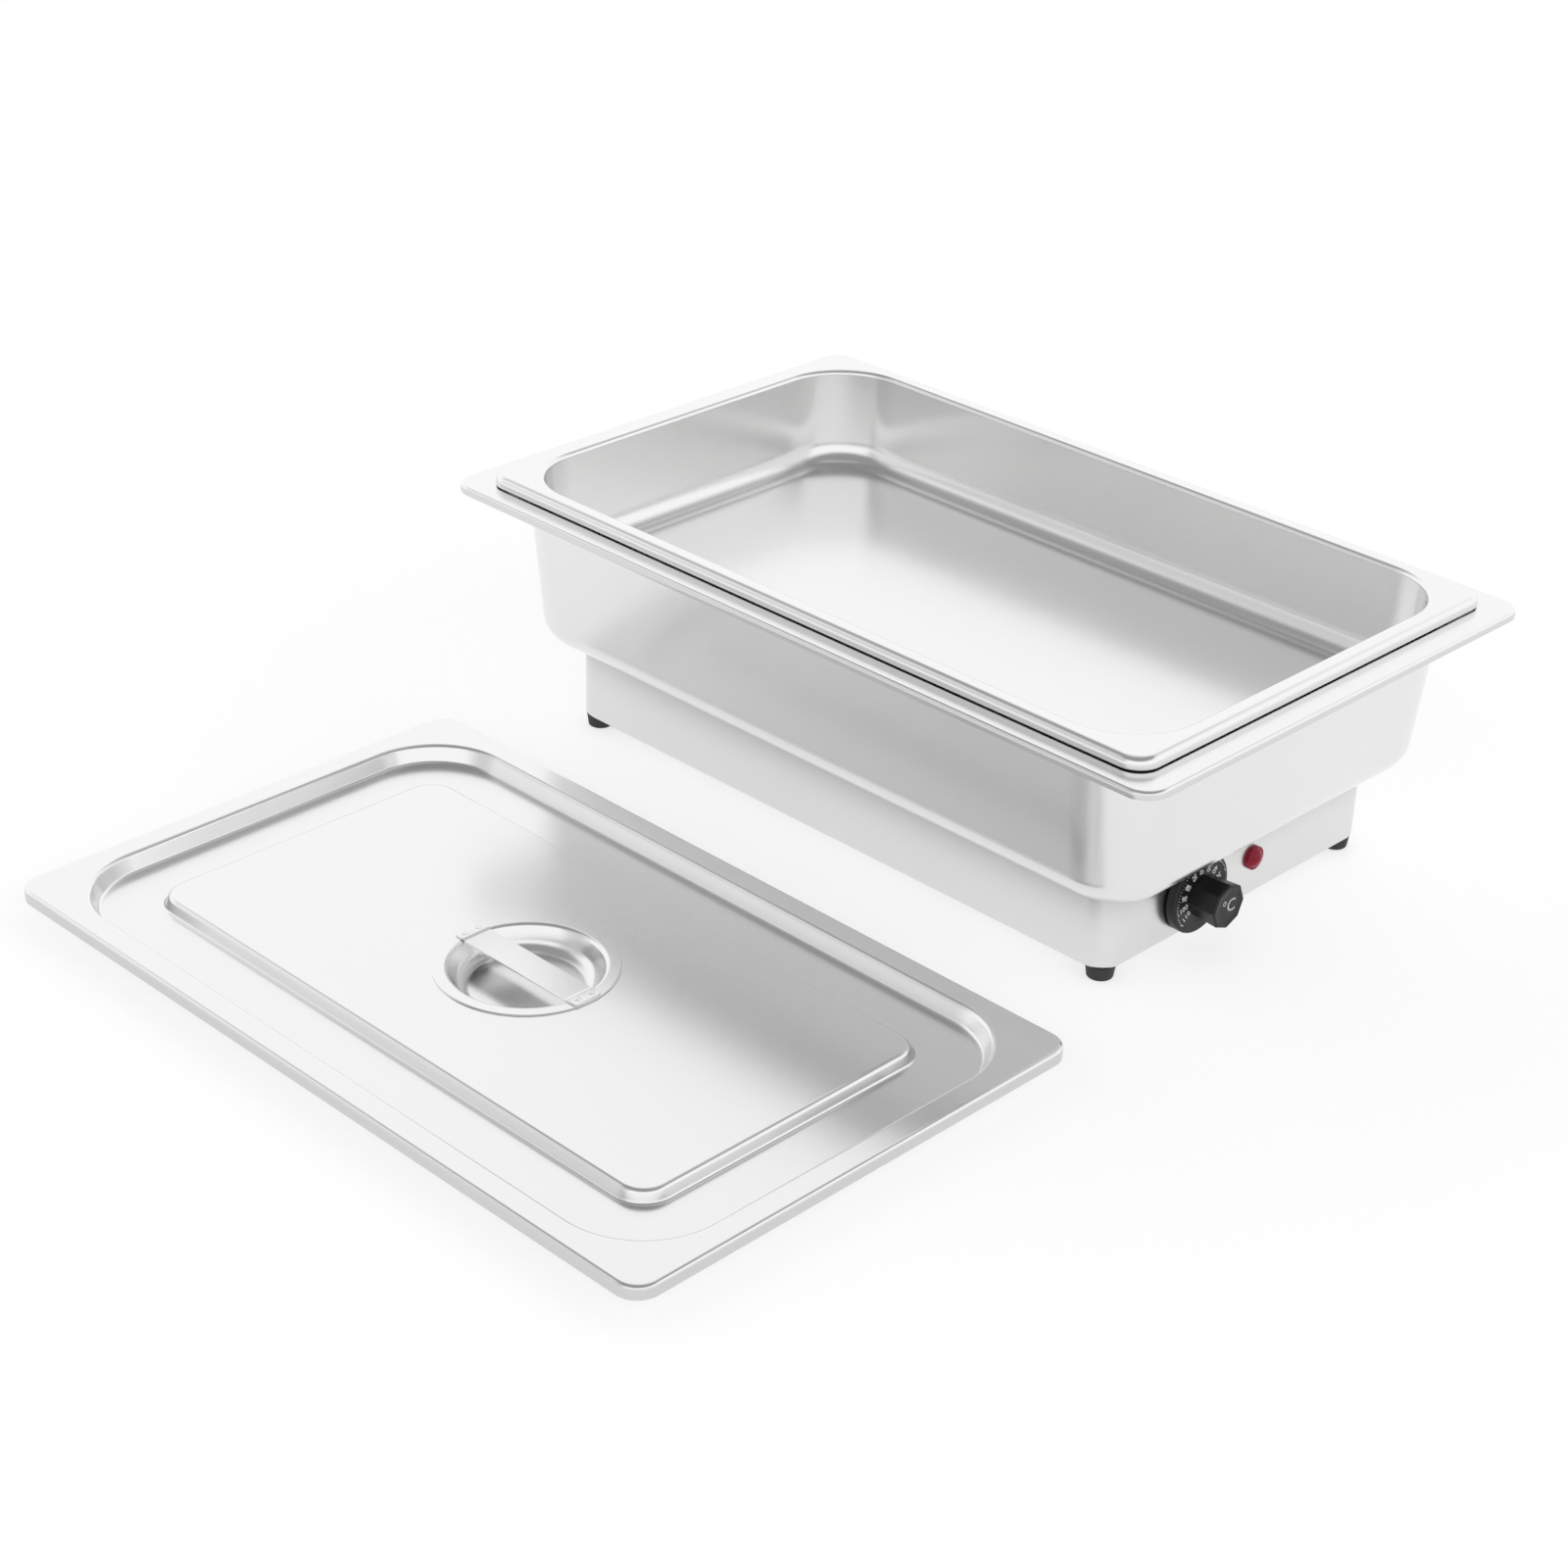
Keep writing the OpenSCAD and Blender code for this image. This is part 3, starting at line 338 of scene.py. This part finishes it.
def skirt_loop(inset, z):
    """Loop on the skirt, at a distance inside its outer face."""
    return loop([half - SKIRT_R for half in SKIRT], SKIRT_R - inset, z)


bend = arc(SKIRT_R - SKIRT_BEND, SKIRT_Z + SKIRT_BEND, SKIRT_BEND, 0, -90, 6)
top_z, inside_z = FLOOR_Z - 0.05, SKIRT_Z + SHEET
edge = [(0, FLOOR_Z - 1.6), (0, FLOOR_Z - 0.5), (0.15, FLOOR_Z - 0.15), (0.4, top_z)]
loops = [skirt_loop(inset, z) for inset, z in edge[::-1]] + [skirt_loop(0, SKIRT_Z + BESIDE)]
loops += [skirt_loop(SKIRT_R - r, z) for r, z in bend] + [skirt_loop(BESIDE, SKIRT_Z)]
loops += [loop(OPENING, OPENING_R, SKIRT_Z), loop(OPENING, OPENING_R, inside_z), skirt_loop(BESIDE, inside_z)]
loops += [skirt_loop(SHEET, SKIRT_Z + BESIDE), skirt_loop(SHEET, top_z)]
base_skirt = skin("base_skirt_wall", loops, ring=True)
print(base_skirt.name, len(base_skirt.data.polygons), "faces")

# %% [markdown]
# ## Feet
# Four soft rubber feet, moulded with rounded edges and a recess for the screw. They are turned pieces.

# %% Feet
FOOT = (212, 113)
RECESS_R, BORE_R = 4.5, 2.15
foot_profile = [(RECESS_R, 0), *arc(6.8, 1.2, 1.2, -90, 0, 6), *arc(8.4, 8.4, 0.6, 5, 90, 5)]
foot_profile += [(BORE_R, 9), (BORE_R, 4.5), (RECESS_R, 4.5)]
feet = {}
for node, sx, sy in (("foot_knob_near", 1, -1), ("foot_knob_far", 1, 1),
                     ("foot_gland_near", -1, -1), ("foot_gland_far", -1, 1)):
    place = moved(sx * FOOT[0], sy * FOOT[1], 0)
    feet[node] = lathe(node + "_rubber", foot_profile, place, ring=True, segments=48)
print(len(feet), "feet")

# %% [markdown]
# ## Knob
# The knob is a moulded dial with a rounded rim, and an eight-sided grip that widens towards its end. The dial
# is turned, and the grip is a run of eight-sided loops with softened corners.

# %% Dial and grip
SPINDLE_R = 3.05
dial_profile = [(SPINDLE_R, 0), (24.2, 0), *arc(24.4, 0.6, 0.6, -90, 0, 4), *arc(23.4, 4.4, 1.6, 0, 90, 8)]
dial_profile += [(14.9, 6.0), (14.6, 5.8), (14.3, 5.8), (14.0, 6.0), (SPINDLE_R, 6.0)]
knob_dial = lathe("knob_dial", dial_profile, facing_x(DIAL_BACK, *KNOB), ring=True)


def grip_loop(flat, r, z, sides=8, steps=6):
    """Loop round a grip with softened corners, whose flats are at a distance from its axis."""
    points = []
    reach = (flat - r) / math.cos(math.pi / sides)
    for i in range(sides):
        middle = 360 / sides * i
        x, y = reach * math.cos(math.radians(middle)), reach * math.sin(math.radians(middle))
        for j in range(steps + 1):
            a = math.radians(middle + 360 / sides * (j / steps - 0.5))
            points.append((x + r * math.cos(a), y + r * math.sin(a), z))
    return points


grip_loops = [grip_loop(12.0, 1.2, 5.9), grip_loop(12.03, 1.2, 6.3), grip_loop(13.15, 1.2, 24.4)]
grip_loops += [grip_loop(12.15 + x, 1.2, 24.9 + z) for x, z in arc(0, 0, 1.1, 0, 80, 5)]
grip_loops += [grip_loop(11.05, 1.1, 26.0), grip_loop(10.65, 1.1, 25.85), grip_loop(7.5, 0.8, 25.8)]
knob_grip = skin("knob_grip", grip_loops, place=facing_x(DIAL_BACK, *KNOB), sharp=50)
print(knob_dial.name, knob_grip.name, "made")

# %% [markdown]
# ## Lamp
# The lamp's lens is a red moulding with a raised rim, a narrow groove and a low dome, turned as one profile.

# %% Lens
lens_profile = [(0, 0), (7.3, 0), (7.5, 0.2), *arc(6.9, 2.0, 0.6, 0, 90, 5), (6.35, 2.45), (6.15, 2.3)]
lens_profile += arc(0, -2.1, 7.5, 37, 90, 14)
lamp_lens = lathe("lamp_lens_dome", lens_profile, facing_x(SKIRT[0], *LAMP), segments=64, sharp=30)
print(lamp_lens.name, "made")

# %% [markdown]
# ## Cord gland
# A cord leaves such a base at its far end, through a black gland: a hexagon with turned-off corners against
# the skirt, and a ribbed cap. Both are one run of loops whose radius depends on the direction, with a bore
# of 8 mm right through.

# %% Gland
POLAR_STEPS = 120


def polar(z, radius):
    """Loop whose distance from its axis is a number or depends on the direction."""
    angles = [2 * math.pi * i / POLAR_STEPS for i in range(POLAR_STEPS)]
    reach = [radius(a) if callable(radius) else radius for a in angles]
    return [(r * math.cos(a), r * math.sin(a), z) for r, a in zip(reach, angles)]


def hexagon(flat, corner):
    """Radius of a hexagon, whose corners are turned off."""
    return lambda a: min(corner, flat / math.cos((a + math.pi / 6) % (math.pi / 3) - math.pi / 6))


def ribbed(r):
    """Radius of a round cap with twenty ribs."""
    return lambda a: r + 0.3 * math.cos(20 * a)


thread = [(12.8, 4.0), (12.8, 7.7), (12.5, 8.0), (0.05, 8.0)]
body = [(0.05, hexagon(9.4, 10.2)), (-0.6, hexagon(9.7, 11.1)), (-4.2, hexagon(9.7, 11.1))]
body += [(-5.0, hexagon(9.5, 10.2)), (-5.0, 8.3), (-5.5, 8.2)]
cap = [(-5.9, ribbed(8.0)), (-13.2, ribbed(6.7)), (-13.6, 6.5), (-14.4, 6.3), (-15.0, 5.6), (-15.0, 4.5)]
gland_loops = [polar(z, radius) for z, radius in thread + body + cap + [(-14.5, 4.0)]]
gland = skin("cord_gland", gland_loops, ring=True, place=facing_x(-SKIRT[0], 0, GLAND_Z), sharp=30)
print(gland.name, len(gland.data.polygons), "faces")

# %% [markdown]
# ## One class for node trees
# Materials and geometry patterns are both trees of nodes. One small class adds any node, sets it and links
# it, and a value taken from a node can be added, multiplied and so on, which adds the Math nodes.

# %% Node trees


class Value:
    """Output of a node. Arithmetic on it adds Math nodes."""

    def __init__(self, tree, socket):
        self.tree, self.socket = tree, socket

    def math(self, operation, a, b):
        return self.tree.node("ShaderNodeMath", {"operation": operation}, {0: a, 1: b})

    def __add__(self, other):
        return self.math("ADD", self, other)

    def __sub__(self, other):
        return self.math("SUBTRACT", self, other)

    def __rsub__(self, other):
        return self.math("SUBTRACT", other, self)

    def __mul__(self, other):
        return self.math("MULTIPLY", self, other)

    def __pow__(self, other):
        return self.math("POWER", self, other)

    __radd__, __rmul__ = __add__, __mul__


class Tree:
    """Node tree that grows one node at a time."""

    def __init__(self, tree):
        self.tree = tree
        tree.nodes.clear()

    def node(self, kind, settings=None, inputs=None, output=0):
        made = self.tree.nodes.new(kind)
        for key, value in (settings or {}).items():
            setattr(made, key, value)
        for key, value in (inputs or {}).items():
            if isinstance(value, Value):
                self.tree.links.new(value.socket, made.inputs[key])
            else:
                made.inputs[key].default_value = value
        return Value(self, made.outputs[output]) if len(made.outputs) else made


class Finish(Tree):
    """Material. Patterns read the piece's own place in metres."""

    def __init__(self, name):
        self.material = bpy.data.materials.new(name)
        self.material.use_nodes = True
        super().__init__(self.material.node_tree)
        self.place = self.node("ShaderNodeTexCoord", output="Object")

    def noise(self, scale, detail=2.0, stretch=(1, 1, 1), rough=0.5):
        at = self.node("ShaderNodeMapping", {}, {"Vector": self.place, "Scale": stretch})
        return self.node("ShaderNodeTexNoise", {},
                         {"Vector": at, "Scale": scale, "Detail": detail, "Roughness": rough})

    def mix(self, share, first, second):
        first, second = [c if isinstance(c, Value) else (*c, 1) for c in (first, second)]
        return self.node("ShaderNodeMix", {"data_type": "RGBA"}, {0: share, 6: first, 7: second}, 2)

    def bump(self, height, distance):
        return self.node("ShaderNodeBump", {}, {"Height": height, "Distance": distance, "Strength": 1.0})

    def surface(self, inputs):
        shader = self.node("ShaderNodeBsdfPrincipled", {}, inputs)
        self.node("ShaderNodeOutputMaterial", {}, {"Surface": shader})
        return self.material


# %% [markdown]
# ## Satin steel
# Catering steel is rolled with a fine satin grain, then pressed. Close up the grain is a set of faint
# scratches along the sheet, and from a step away only soft clouds in the gloss are left. So the finish has
# two patterns: a noise stretched along the piece for the grain, and a wide one for the clouds. The base is
# folded from a plainer sheet. Under the pan's overhang, painted shade darkens it towards its upper edge, and
# the outer faces of the turned-down edges are darkened with the same painted shade.

# %% Steel finishes
# Grey and share of the painted shade that darkens the marked edges and the top of the base.
SHADE_GREY, SHADE_SHARE = (0.16, 0.155, 0.15), 0.30
SCRATCH_DEPTH = 0.0000002
ROLLED, EVEN = (30, 900, 900), (200, 200, 200)


def satin_steel(name, dark, light, gloss, grain=ROLLED, shade_band=None):
    """Steel with a fine grain. Painted shade darkens it where its points are marked, and may darken it from
    one height to another.
    """
    look = Finish(name)
    clouds = look.noise(9.0, 3.0)
    scratches = look.noise(1.0, 3.0, grain, 0.6)
    share = clouds * 0.85 + scratches * 0.15
    # Painted shade: marked points are darkened, and within a band of heights the colour darkens towards its
    # top.
    painted_shade = look.node("ShaderNodeAttribute", {"attribute_name": "edge_shade"}, output="Fac")
    if shade_band:
        low, high = [z * MM for z in shade_band]
        height = look.node("ShaderNodeSeparateXYZ", {}, {0: look.place}, "Z")
        rise = look.node("ShaderNodeMapRange", {}, {"Value": height, "From Min": low, "From Max": high})
        painted_shade = painted_shade + rise ** 2
    colour = look.mix(painted_shade * SHADE_SHARE, look.mix(share, dark, light), SHADE_GREY)
    return look.surface({"Base Color": colour, "Metallic": 1.0,
                         "Roughness": gloss + (clouds - 0.5) * 0.05 + (scratches - 0.5) * 0.02,
                         "Normal": look.bump(scratches, SCRATCH_DEPTH)})


metals = {
    "satin_steel": dict(dark=(0.785, 0.785, 0.783), light=(0.825, 0.825, 0.823), gloss=0.21),
    # The base's steel is darkened with painted shade from 30 mm up to 56 mm, under the pan's overhang.
    "skirt_steel": dict(dark=(0.735, 0.735, 0.733), light=(0.775, 0.775, 0.773), gloss=0.26, shade_band=(30, 56)),
    "plain_steel": dict(dark=(0.56, 0.57, 0.58), light=(0.68, 0.69, 0.70), gloss=0.38),
    "plated_steel": dict(dark=(0.64, 0.65, 0.68), light=(0.76, 0.77, 0.79), gloss=0.25, grain=EVEN),
    "element_steel": dict(dark=(0.20, 0.19, 0.18), light=(0.40, 0.38, 0.36), gloss=0.45),
    "brass": dict(dark=(0.72, 0.55, 0.24), light=(0.84, 0.66, 0.34), gloss=0.30, grain=EVEN),
    "copper": dict(dark=(0.66, 0.37, 0.22), light=(0.80, 0.48, 0.31), gloss=0.30),
}
finishes = {name: satin_steel(name, **look) for name, look in metals.items()}
print(len(finishes), "metal finishes")

# %% [markdown]
# ## Plastic and rubber
# Moulded pieces have a fine spark-eroded texture, and their colour and gloss vary a little with it. Rubber is
# duller. One finish covers them all, and the print and the wires' sleeves too, each with its own colours,
# gloss and depth of texture.

# %% Moulded finishes
MOULD_GRAIN = 2500.0


def moulded(name, dark, light, gloss, depth=0.00004, shine=0.5):
    """Moulded plastic or rubber with a fine texture."""
    look = Finish(name)
    texture = look.noise(MOULD_GRAIN, 2.0)
    clouds = look.noise(60.0, 3.0)
    return look.surface({"Base Color": look.mix(clouds * 0.7 + texture * 0.3, dark, light),
                         "Roughness": gloss + (texture - 0.5) * 0.12 + (clouds - 0.5) * 0.08,
                         "Specular IOR Level": shine, "Normal": look.bump(texture, depth)})


mouldings = {
    "black_plastic": dict(dark=(0.006, 0.006, 0.007), light=(0.014, 0.014, 0.015), gloss=0.40, shine=0.3),
    "black_rubber": dict(dark=(0.012, 0.012, 0.012), light=(0.030, 0.030, 0.029), gloss=0.62),
    "grey_plastic": dict(dark=(0.19, 0.19, 0.20), light=(0.25, 0.25, 0.26), gloss=0.45),
    "brown_plastic": dict(dark=(0.13, 0.06, 0.03), light=(0.19, 0.10, 0.05), gloss=0.30),
    "ivory_plastic": dict(dark=(0.76, 0.73, 0.64), light=(0.84, 0.81, 0.72), gloss=0.45),
    "red_lens": dict(dark=(0.20, 0.002, 0.014), light=(0.28, 0.004, 0.022), gloss=0.12, depth=0.00001,
                     shine=0.25),
    "white_print": dict(dark=(0.84, 0.84, 0.83), light=(0.92, 0.92, 0.91), gloss=0.55),
    "grey_print": dict(dark=(0.44, 0.44, 0.43), light=(0.54, 0.54, 0.53), gloss=0.55),
    "brown_sleeve": dict(dark=(0.18, 0.09, 0.04), light=(0.26, 0.13, 0.06), gloss=0.55),
    "red_sleeve": dict(dark=(0.48, 0.04, 0.04), light=(0.60, 0.06, 0.06), gloss=0.55),
    "blue_sleeve": dict(dark=(0.05, 0.15, 0.44), light=(0.07, 0.21, 0.56), gloss=0.55),
    "green_sleeve": dict(dark=(0.16, 0.40, 0.06), light=(0.24, 0.50, 0.10), gloss=0.55),
    "grey_sleeve": dict(dark=(0.40, 0.40, 0.40), light=(0.50, 0.50, 0.50), gloss=0.55),
}
finishes |= {name: moulded(name, **look) for name, look in mouldings.items()}
print(len(finishes), "finishes in all")

# %% [markdown]
# ## Repeated pieces
# The dial is printed in white: a scale of short lines, a longer line at every fifth, and numbers from 0 to
# 110. The lines repeat along an arc, and the screws of the bottom plate and the welds of the strap repeat at
# set places. Geometry Nodes lay both kinds: one unit on each point, and then one plain mesh of all of them.

# %% Patterns


def pattern(name, ports):
    """Geometry tree, its input sockets and the values that come from them."""
    group = bpy.data.node_groups.new(name, "GeometryNodeTree")
    sockets = {label: group.interface.new_socket(label, in_out="INPUT", socket_type="NodeSocket" + kind)
               for label, kind in ports.items()}
    group.interface.new_socket("Geometry", in_out="OUTPUT", socket_type="NodeSocketGeometry")
    tree = Tree(group)
    return tree, sockets, {label: tree.node("NodeGroupInput", output=label) for label in ports}


def grown(name, tree, sockets, laid, finish, values, places=(), at=Matrix.Identity(4)):
    """Piece made of the units that a pattern lays. Its inputs are set by their identifiers."""
    solid = tree.node("GeometryNodeRealizeInstances", {}, {"Geometry": laid})
    painted = tree.node("GeometryNodeSetMaterial", {}, {"Geometry": solid, "Material": finish})
    tree.node("NodeGroupOutput", {}, {"Geometry": painted})
    seeds = bpy.data.meshes.new(name + "_places")
    seeds.from_pydata([Vector(p) * MM for p in places], [], [])
    carrier = bpy.data.objects.new(name, seeds)
    bpy.context.scene.collection.objects.link(carrier)
    modifier = carrier.modifiers.new("pattern", "NODES")
    modifier.node_group = tree.tree
    for label, value in values.items():
        modifier[sockets[label].identifier] = value
    graph = bpy.context.evaluated_depsgraph_get()
    mesh = bpy.data.meshes.new_from_object(carrier.evaluated_get(graph))
    bpy.data.objects.remove(carrier)
    mesh.transform(at)
    piece = bpy.data.objects.new(name, mesh)
    bpy.context.scene.collection.objects.link(piece)
    return piece


# %% Screws and welds


def repeated(name, unit, places, finish):
    """One mesh of a unit that stands at each of a set of places. The unit itself is removed."""
    tree, sockets, given = pattern(name, {"Geometry": "Geometry", "Unit": "Object", "Finish": "Material"})
    shape = tree.node("GeometryNodeObjectInfo", {}, {"Object": given["Unit"]}, "Geometry")
    laid = tree.node("GeometryNodeInstanceOnPoints", {}, {"Points": given["Geometry"], "Instance": shape})
    values = {"Unit": unit, "Finish": finishes[finish]}
    piece = grown(name, tree, sockets, laid, given["Finish"], values, places)
    bpy.data.objects.remove(unit)
    return piece


def cross(arm, half):
    """Radius of a cross recess with the given reach and half width of its arms."""
    def radius(a):
        c, s = abs(math.cos(a)) + 1e-9, abs(math.sin(a)) + 1e-9
        return max(min(arm / c, half / s), min(half / c, arm / s))
    return radius


SIGNS = [(sx, sy) for sx in (-1, 1) for sy in (-1, 1)]
PLATE_Z, PLATE_SCREWS = 9, ((89.4, 112.5), (211.5, 49.8))
WELD = (48, 5)
recess = [(-1.0, cross(1.3, 0.35)), (-2.0, cross(1.9, 0.5)), (-2.1, cross(2.0, 0.6)), (-2.1, 2.3)]
crown = [(z - 1.1, r + 2.5) for r, z in arc(0, 0, 1.0, -80, 0, 5)]
shank = [(-0.2, 3.5), (0, 3.4), (0, 1.75), (5.4, 1.75), (5.8, 1.4)]
screw = skin("screw_unit", [polar(z, radius) for z, radius in recess + crown + shank])
places = [(sx * x, sy * y, PLATE_Z) for x, y in PLATE_SCREWS for sx, sy in SIGNS]
plate_screws = repeated("plate_screws_cross", screw, places, "plated_steel")
weld_profile = [(0, 0.02), (0.9, 0.03), (1.3, 0.14), (1.7, 0.12), (2.1, 0.0), (2.1, -0.2), (0, -0.2)]
weld = lathe("weld_unit", weld_profile, segments=32)
places = [(sx * WELD[0], LID_Y + sy * WELD[1], CUP_TOP + STRAP_THICK) for sx, sy in SIGNS]
strap_welds = repeated("strap_welds", weld, places, "satin_steel")
print([len(p.data.polygons) for p in (plate_screws, strap_welds)], "faces of screws and welds")

# %% Scale
SWEEP, START = 270.0, -50.0
PRINT_LIFT = 0.02


def scale_marks(name, radius, count, size):
    """Small blocks along an arc of the dial, which starts low on the right and runs against the clock."""
    ports = {"Radius": "Float", "Count": "Int", "Size": "Vector", "Finish": "Material"}
    tree, sockets, given = pattern(name, ports)
    line = tree.node("GeometryNodeCurveArc", {"mode": "RADIUS"},
                     {"Resolution": 181, "Radius": given["Radius"], "Start Angle": math.radians(START),
                      "Sweep Angle": math.radians(SWEEP)})
    points = tree.node("GeometryNodeCurveToPoints", {}, {"Curve": line, "Count": given["Count"]}, "Points")
    turn = Value(tree, points.socket.node.outputs["Rotation"])
    block = tree.node("GeometryNodeMeshCube", {}, {"Size": given["Size"]})
    laid = tree.node("GeometryNodeInstanceOnPoints", {},
                     {"Points": points, "Instance": block, "Rotation": turn})
    values = {"Radius": radius * MM, "Count": count, "Size": [s * MM for s in size],
              "Finish": finishes["white_print"]}
    face = facing_x(DIAL_FRONT + PRINT_LIFT, *KNOB)
    return grown(name, tree, sockets, laid, given["Finish"], values, at=face)


fine_lines = scale_marks("dial_lines_fine", radius=22.3, count=56, size=(0.42, 2.2, 0.06))
long_lines = scale_marks("dial_lines_long", radius=21.9, count=12, size=(0.60, 3.0, 0.06))
print([len(p.data.polygons) for p in (fine_lines, long_lines)], "faces of marks")

# %% Numbers and the unit sign
PRINT_DEPTH = 0.03


def lettering(name, words, size):
    """One mesh of flat words. Each comes with its distance from the axis, its turn, and the face it is on."""
    whole = bmesh.new()
    for word, radius, turn, front in words:
        font = bpy.data.curves.new(name, "FONT")
        font.body, font.size, font.extrude, font.resolution_u = word, size * MM, PRINT_DEPTH * MM, 3
        font.align_x, font.align_y = "CENTER", "CENTER"
        carrier = bpy.data.objects.new(name, font)
        bpy.context.scene.collection.objects.link(carrier)
        graph = bpy.context.evaluated_depsgraph_get()
        mesh = bpy.data.meshes.new_from_object(carrier.evaluated_get(graph))
        bpy.data.objects.remove(carrier)
        turned = Matrix.Rotation(math.radians(turn), 4, "Z") @ moved(-radius, 0, 0)
        mesh.transform(facing_x(front + PRINT_LIFT, *KNOB) @ turned)
        whole.from_mesh(mesh)
        bpy.data.meshes.remove(mesh)
    mesh = bpy.data.meshes.new(name)
    whole.to_mesh(mesh)
    whole.free()
    piece = bpy.data.objects.new(name, mesh)
    bpy.context.scene.collection.objects.link(piece)
    return piece


GRIP_FRONT = DIAL_BACK + 25.8
NUMBERS_R = 16.3
numbers = [(str(10 * i), NUMBERS_R, START + 180 + SWEEP * i / 11, DIAL_FRONT) for i in range(12)]
dial_numbers = lettering("dial_numbers", numbers, size=5.0)
unit_sign = lettering("unit_sign", [("°C", 0, 0, GRIP_FRONT)], size=11.5)
print(len(dial_numbers.data.polygons), len(unit_sign.data.polygons), "faces of print")

# %% [markdown]
# ## Riding and finishes
# Every piece rides on the body that it belongs to, so it follows the joints, and most pieces stand for a
# plain solid of the frame. The solids that stay keep their shape and get the finish of their slot.

# %% Ride, replace and paint
pieces = [(water_pan, "base", "satin_steel", "water_pan"), (base_skirt, "base", "skirt_steel", "base_skirt"),
          (food_pan, "food_pan", "satin_steel", "food_pan"), (lid_panel, "lid", "satin_steel", "lid_panel"),
          (lid_cup, "lid", "satin_steel", "lid_cup"), (lid_strap, "lid", "satin_steel", "lid_strap"),
          (knob_dial, "knob", "black_plastic", "control_knob"), (knob_grip, "knob", "black_plastic", None),
          (lamp_lens, "base", "red_lens", "lamp_lens"), (gland, "base", "black_plastic", "gland_body"),
          (plate_screws, "base", "plated_steel", "plate_screws"), (strap_welds, "lid", "satin_steel", None)]
pieces += [(piece, "base", "black_rubber", node) for node, piece in feet.items()]
pieces += [(piece, "knob", "white_print", None) for piece in (fine_lines, long_lines, dial_numbers)]
pieces += [(unit_sign, "knob", "grey_print", None)]
slots = {s["node"]: s["material_slot"] for s in frame["record"]["subparts"]}
for piece, body, finish, node in pieces:
    piece.data.materials.clear()
    piece.data.materials.append(finishes[finish])
    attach(piece, body)
    if node:
        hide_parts(node)
for node, solid in frame["nodes"].items():
    solid.data.materials.clear()
    solid.data.materials.append(finishes[slots[node]])
print(len(pieces), "pieces ride,", len(slots), "solids painted")

# %% [markdown]
# ## Studio
# Bright metal shows the room it stands in. The room here is a white lit table, soft light that is strongest
# low down all round, a dim ceiling, which draws the bends as dark lines, and a darker patch to the left of
# the camera, which gives the walls and the lid their grey slopes. The table glows a little, so it is white
# and still takes the shadow.

# %% Floor
FAR = 30000.0
square = ((-FAR, -FAR), (FAR, -FAR), (FAR, FAR), (-FAR, FAR))
floor = skin("floor", [[(x, y, z) for x, y in square] for z in (-1, 0)])
paper = Finish("white_paper")
tooth = paper.noise(400.0)
paper.surface({"Base Color": paper.mix(tooth, (0.51, 0.51, 0.51), (0.53, 0.53, 0.53)), "Roughness": 0.9,
               "Emission Color": (1, 1, 1, 1), "Emission Strength": 0.62, "Specular IOR Level": 0.0})
floor.data.materials.append(paper.material)
print(floor.name, round(2 * FAR * MM), "m wide")

# %% World and lamp
world = bpy.data.worlds.new("studio")
bpy.context.scene.world = world
world.use_nodes = True
room = Tree(world.node_tree)
way = room.node("ShaderNodeTexCoord", output="Generated")


def step(value, low, high):
    """Soft step from 0 at low to 1 at high."""
    return room.node("ShaderNodeMapRange", {"interpolation_type": "SMOOTHSTEP"},
                     {"Value": value, "From Min": low, "From Max": high})


DARK_TURN = math.radians(242)
side = Vector((math.cos(DARK_TURN), math.sin(DARK_TURN), 0.5)).normalized()
near = room.node("ShaderNodeVectorMath", {"operation": "DOT_PRODUCT"}, {0: way, 1: side}, "Value")
dark = step(near, math.cos(math.radians(28)), math.cos(math.radians(11)))
up = room.node("ShaderNodeSeparateXYZ", {}, {0: way}, "Z")
ceiling = step(up, math.sin(math.radians(38)), math.sin(math.radians(54)))
LEVEL, DARK_CUT, CEILING_CUT = 1.15, 0.43, 0.8
bright = LEVEL - dark * DARK_CUT - ceiling * CEILING_CUT
light = room.node("ShaderNodeBackground", {}, {"Color": (1, 1, 1, 1), "Strength": bright})
room.node("ShaderNodeOutputWorld", {}, {"Surface": light})

softbox = bpy.data.lights.new("softbox", "AREA")
softbox.shape, softbox.size, softbox.energy = "SQUARE", 1.6, 2.0
softbox_object = bpy.data.objects.new("softbox", softbox)
softbox_object.location = (-0.6, 0.9, 2.6)
aim = Vector((0, -0.1, 0.05)) - softbox_object.location
softbox_object.rotation_euler = aim.to_track_quat("-Z", "Y").to_euler()
bpy.context.scene.collection.objects.link(softbox_object)
print("room and", softbox_object.name)

# %% [markdown]
# ## Camera
# The camera stands where the photograph was taken from. Its place, turn and lens were worked out from the
# straight edges of the pans, the base and the lid.

# %% Camera
TURN = Vector((1.930953, 0.814522, -0.449039))
AHEAD = Vector((109.959, -1.238, 2011.372)) * MM
to_camera = Matrix.Rotation(TURN.length, 3, TURN.normalized())
lens = bpy.data.cameras.new("camera")
lens.sensor_width, lens.lens = 36.0, 72.511
camera = bpy.data.objects.new("camera", lens)
camera.matrix_world = (to_camera.transposed() @ Matrix.Diagonal((1, -1, -1))).to_4x4()
camera.location = -(to_camera.transposed() @ AHEAD)
bpy.context.scene.collection.objects.link(camera)
bpy.context.scene.camera = camera
bpy.context.scene.view_settings.view_transform = "Standard"
print("camera at", [round(v, 3) for v in camera.location])
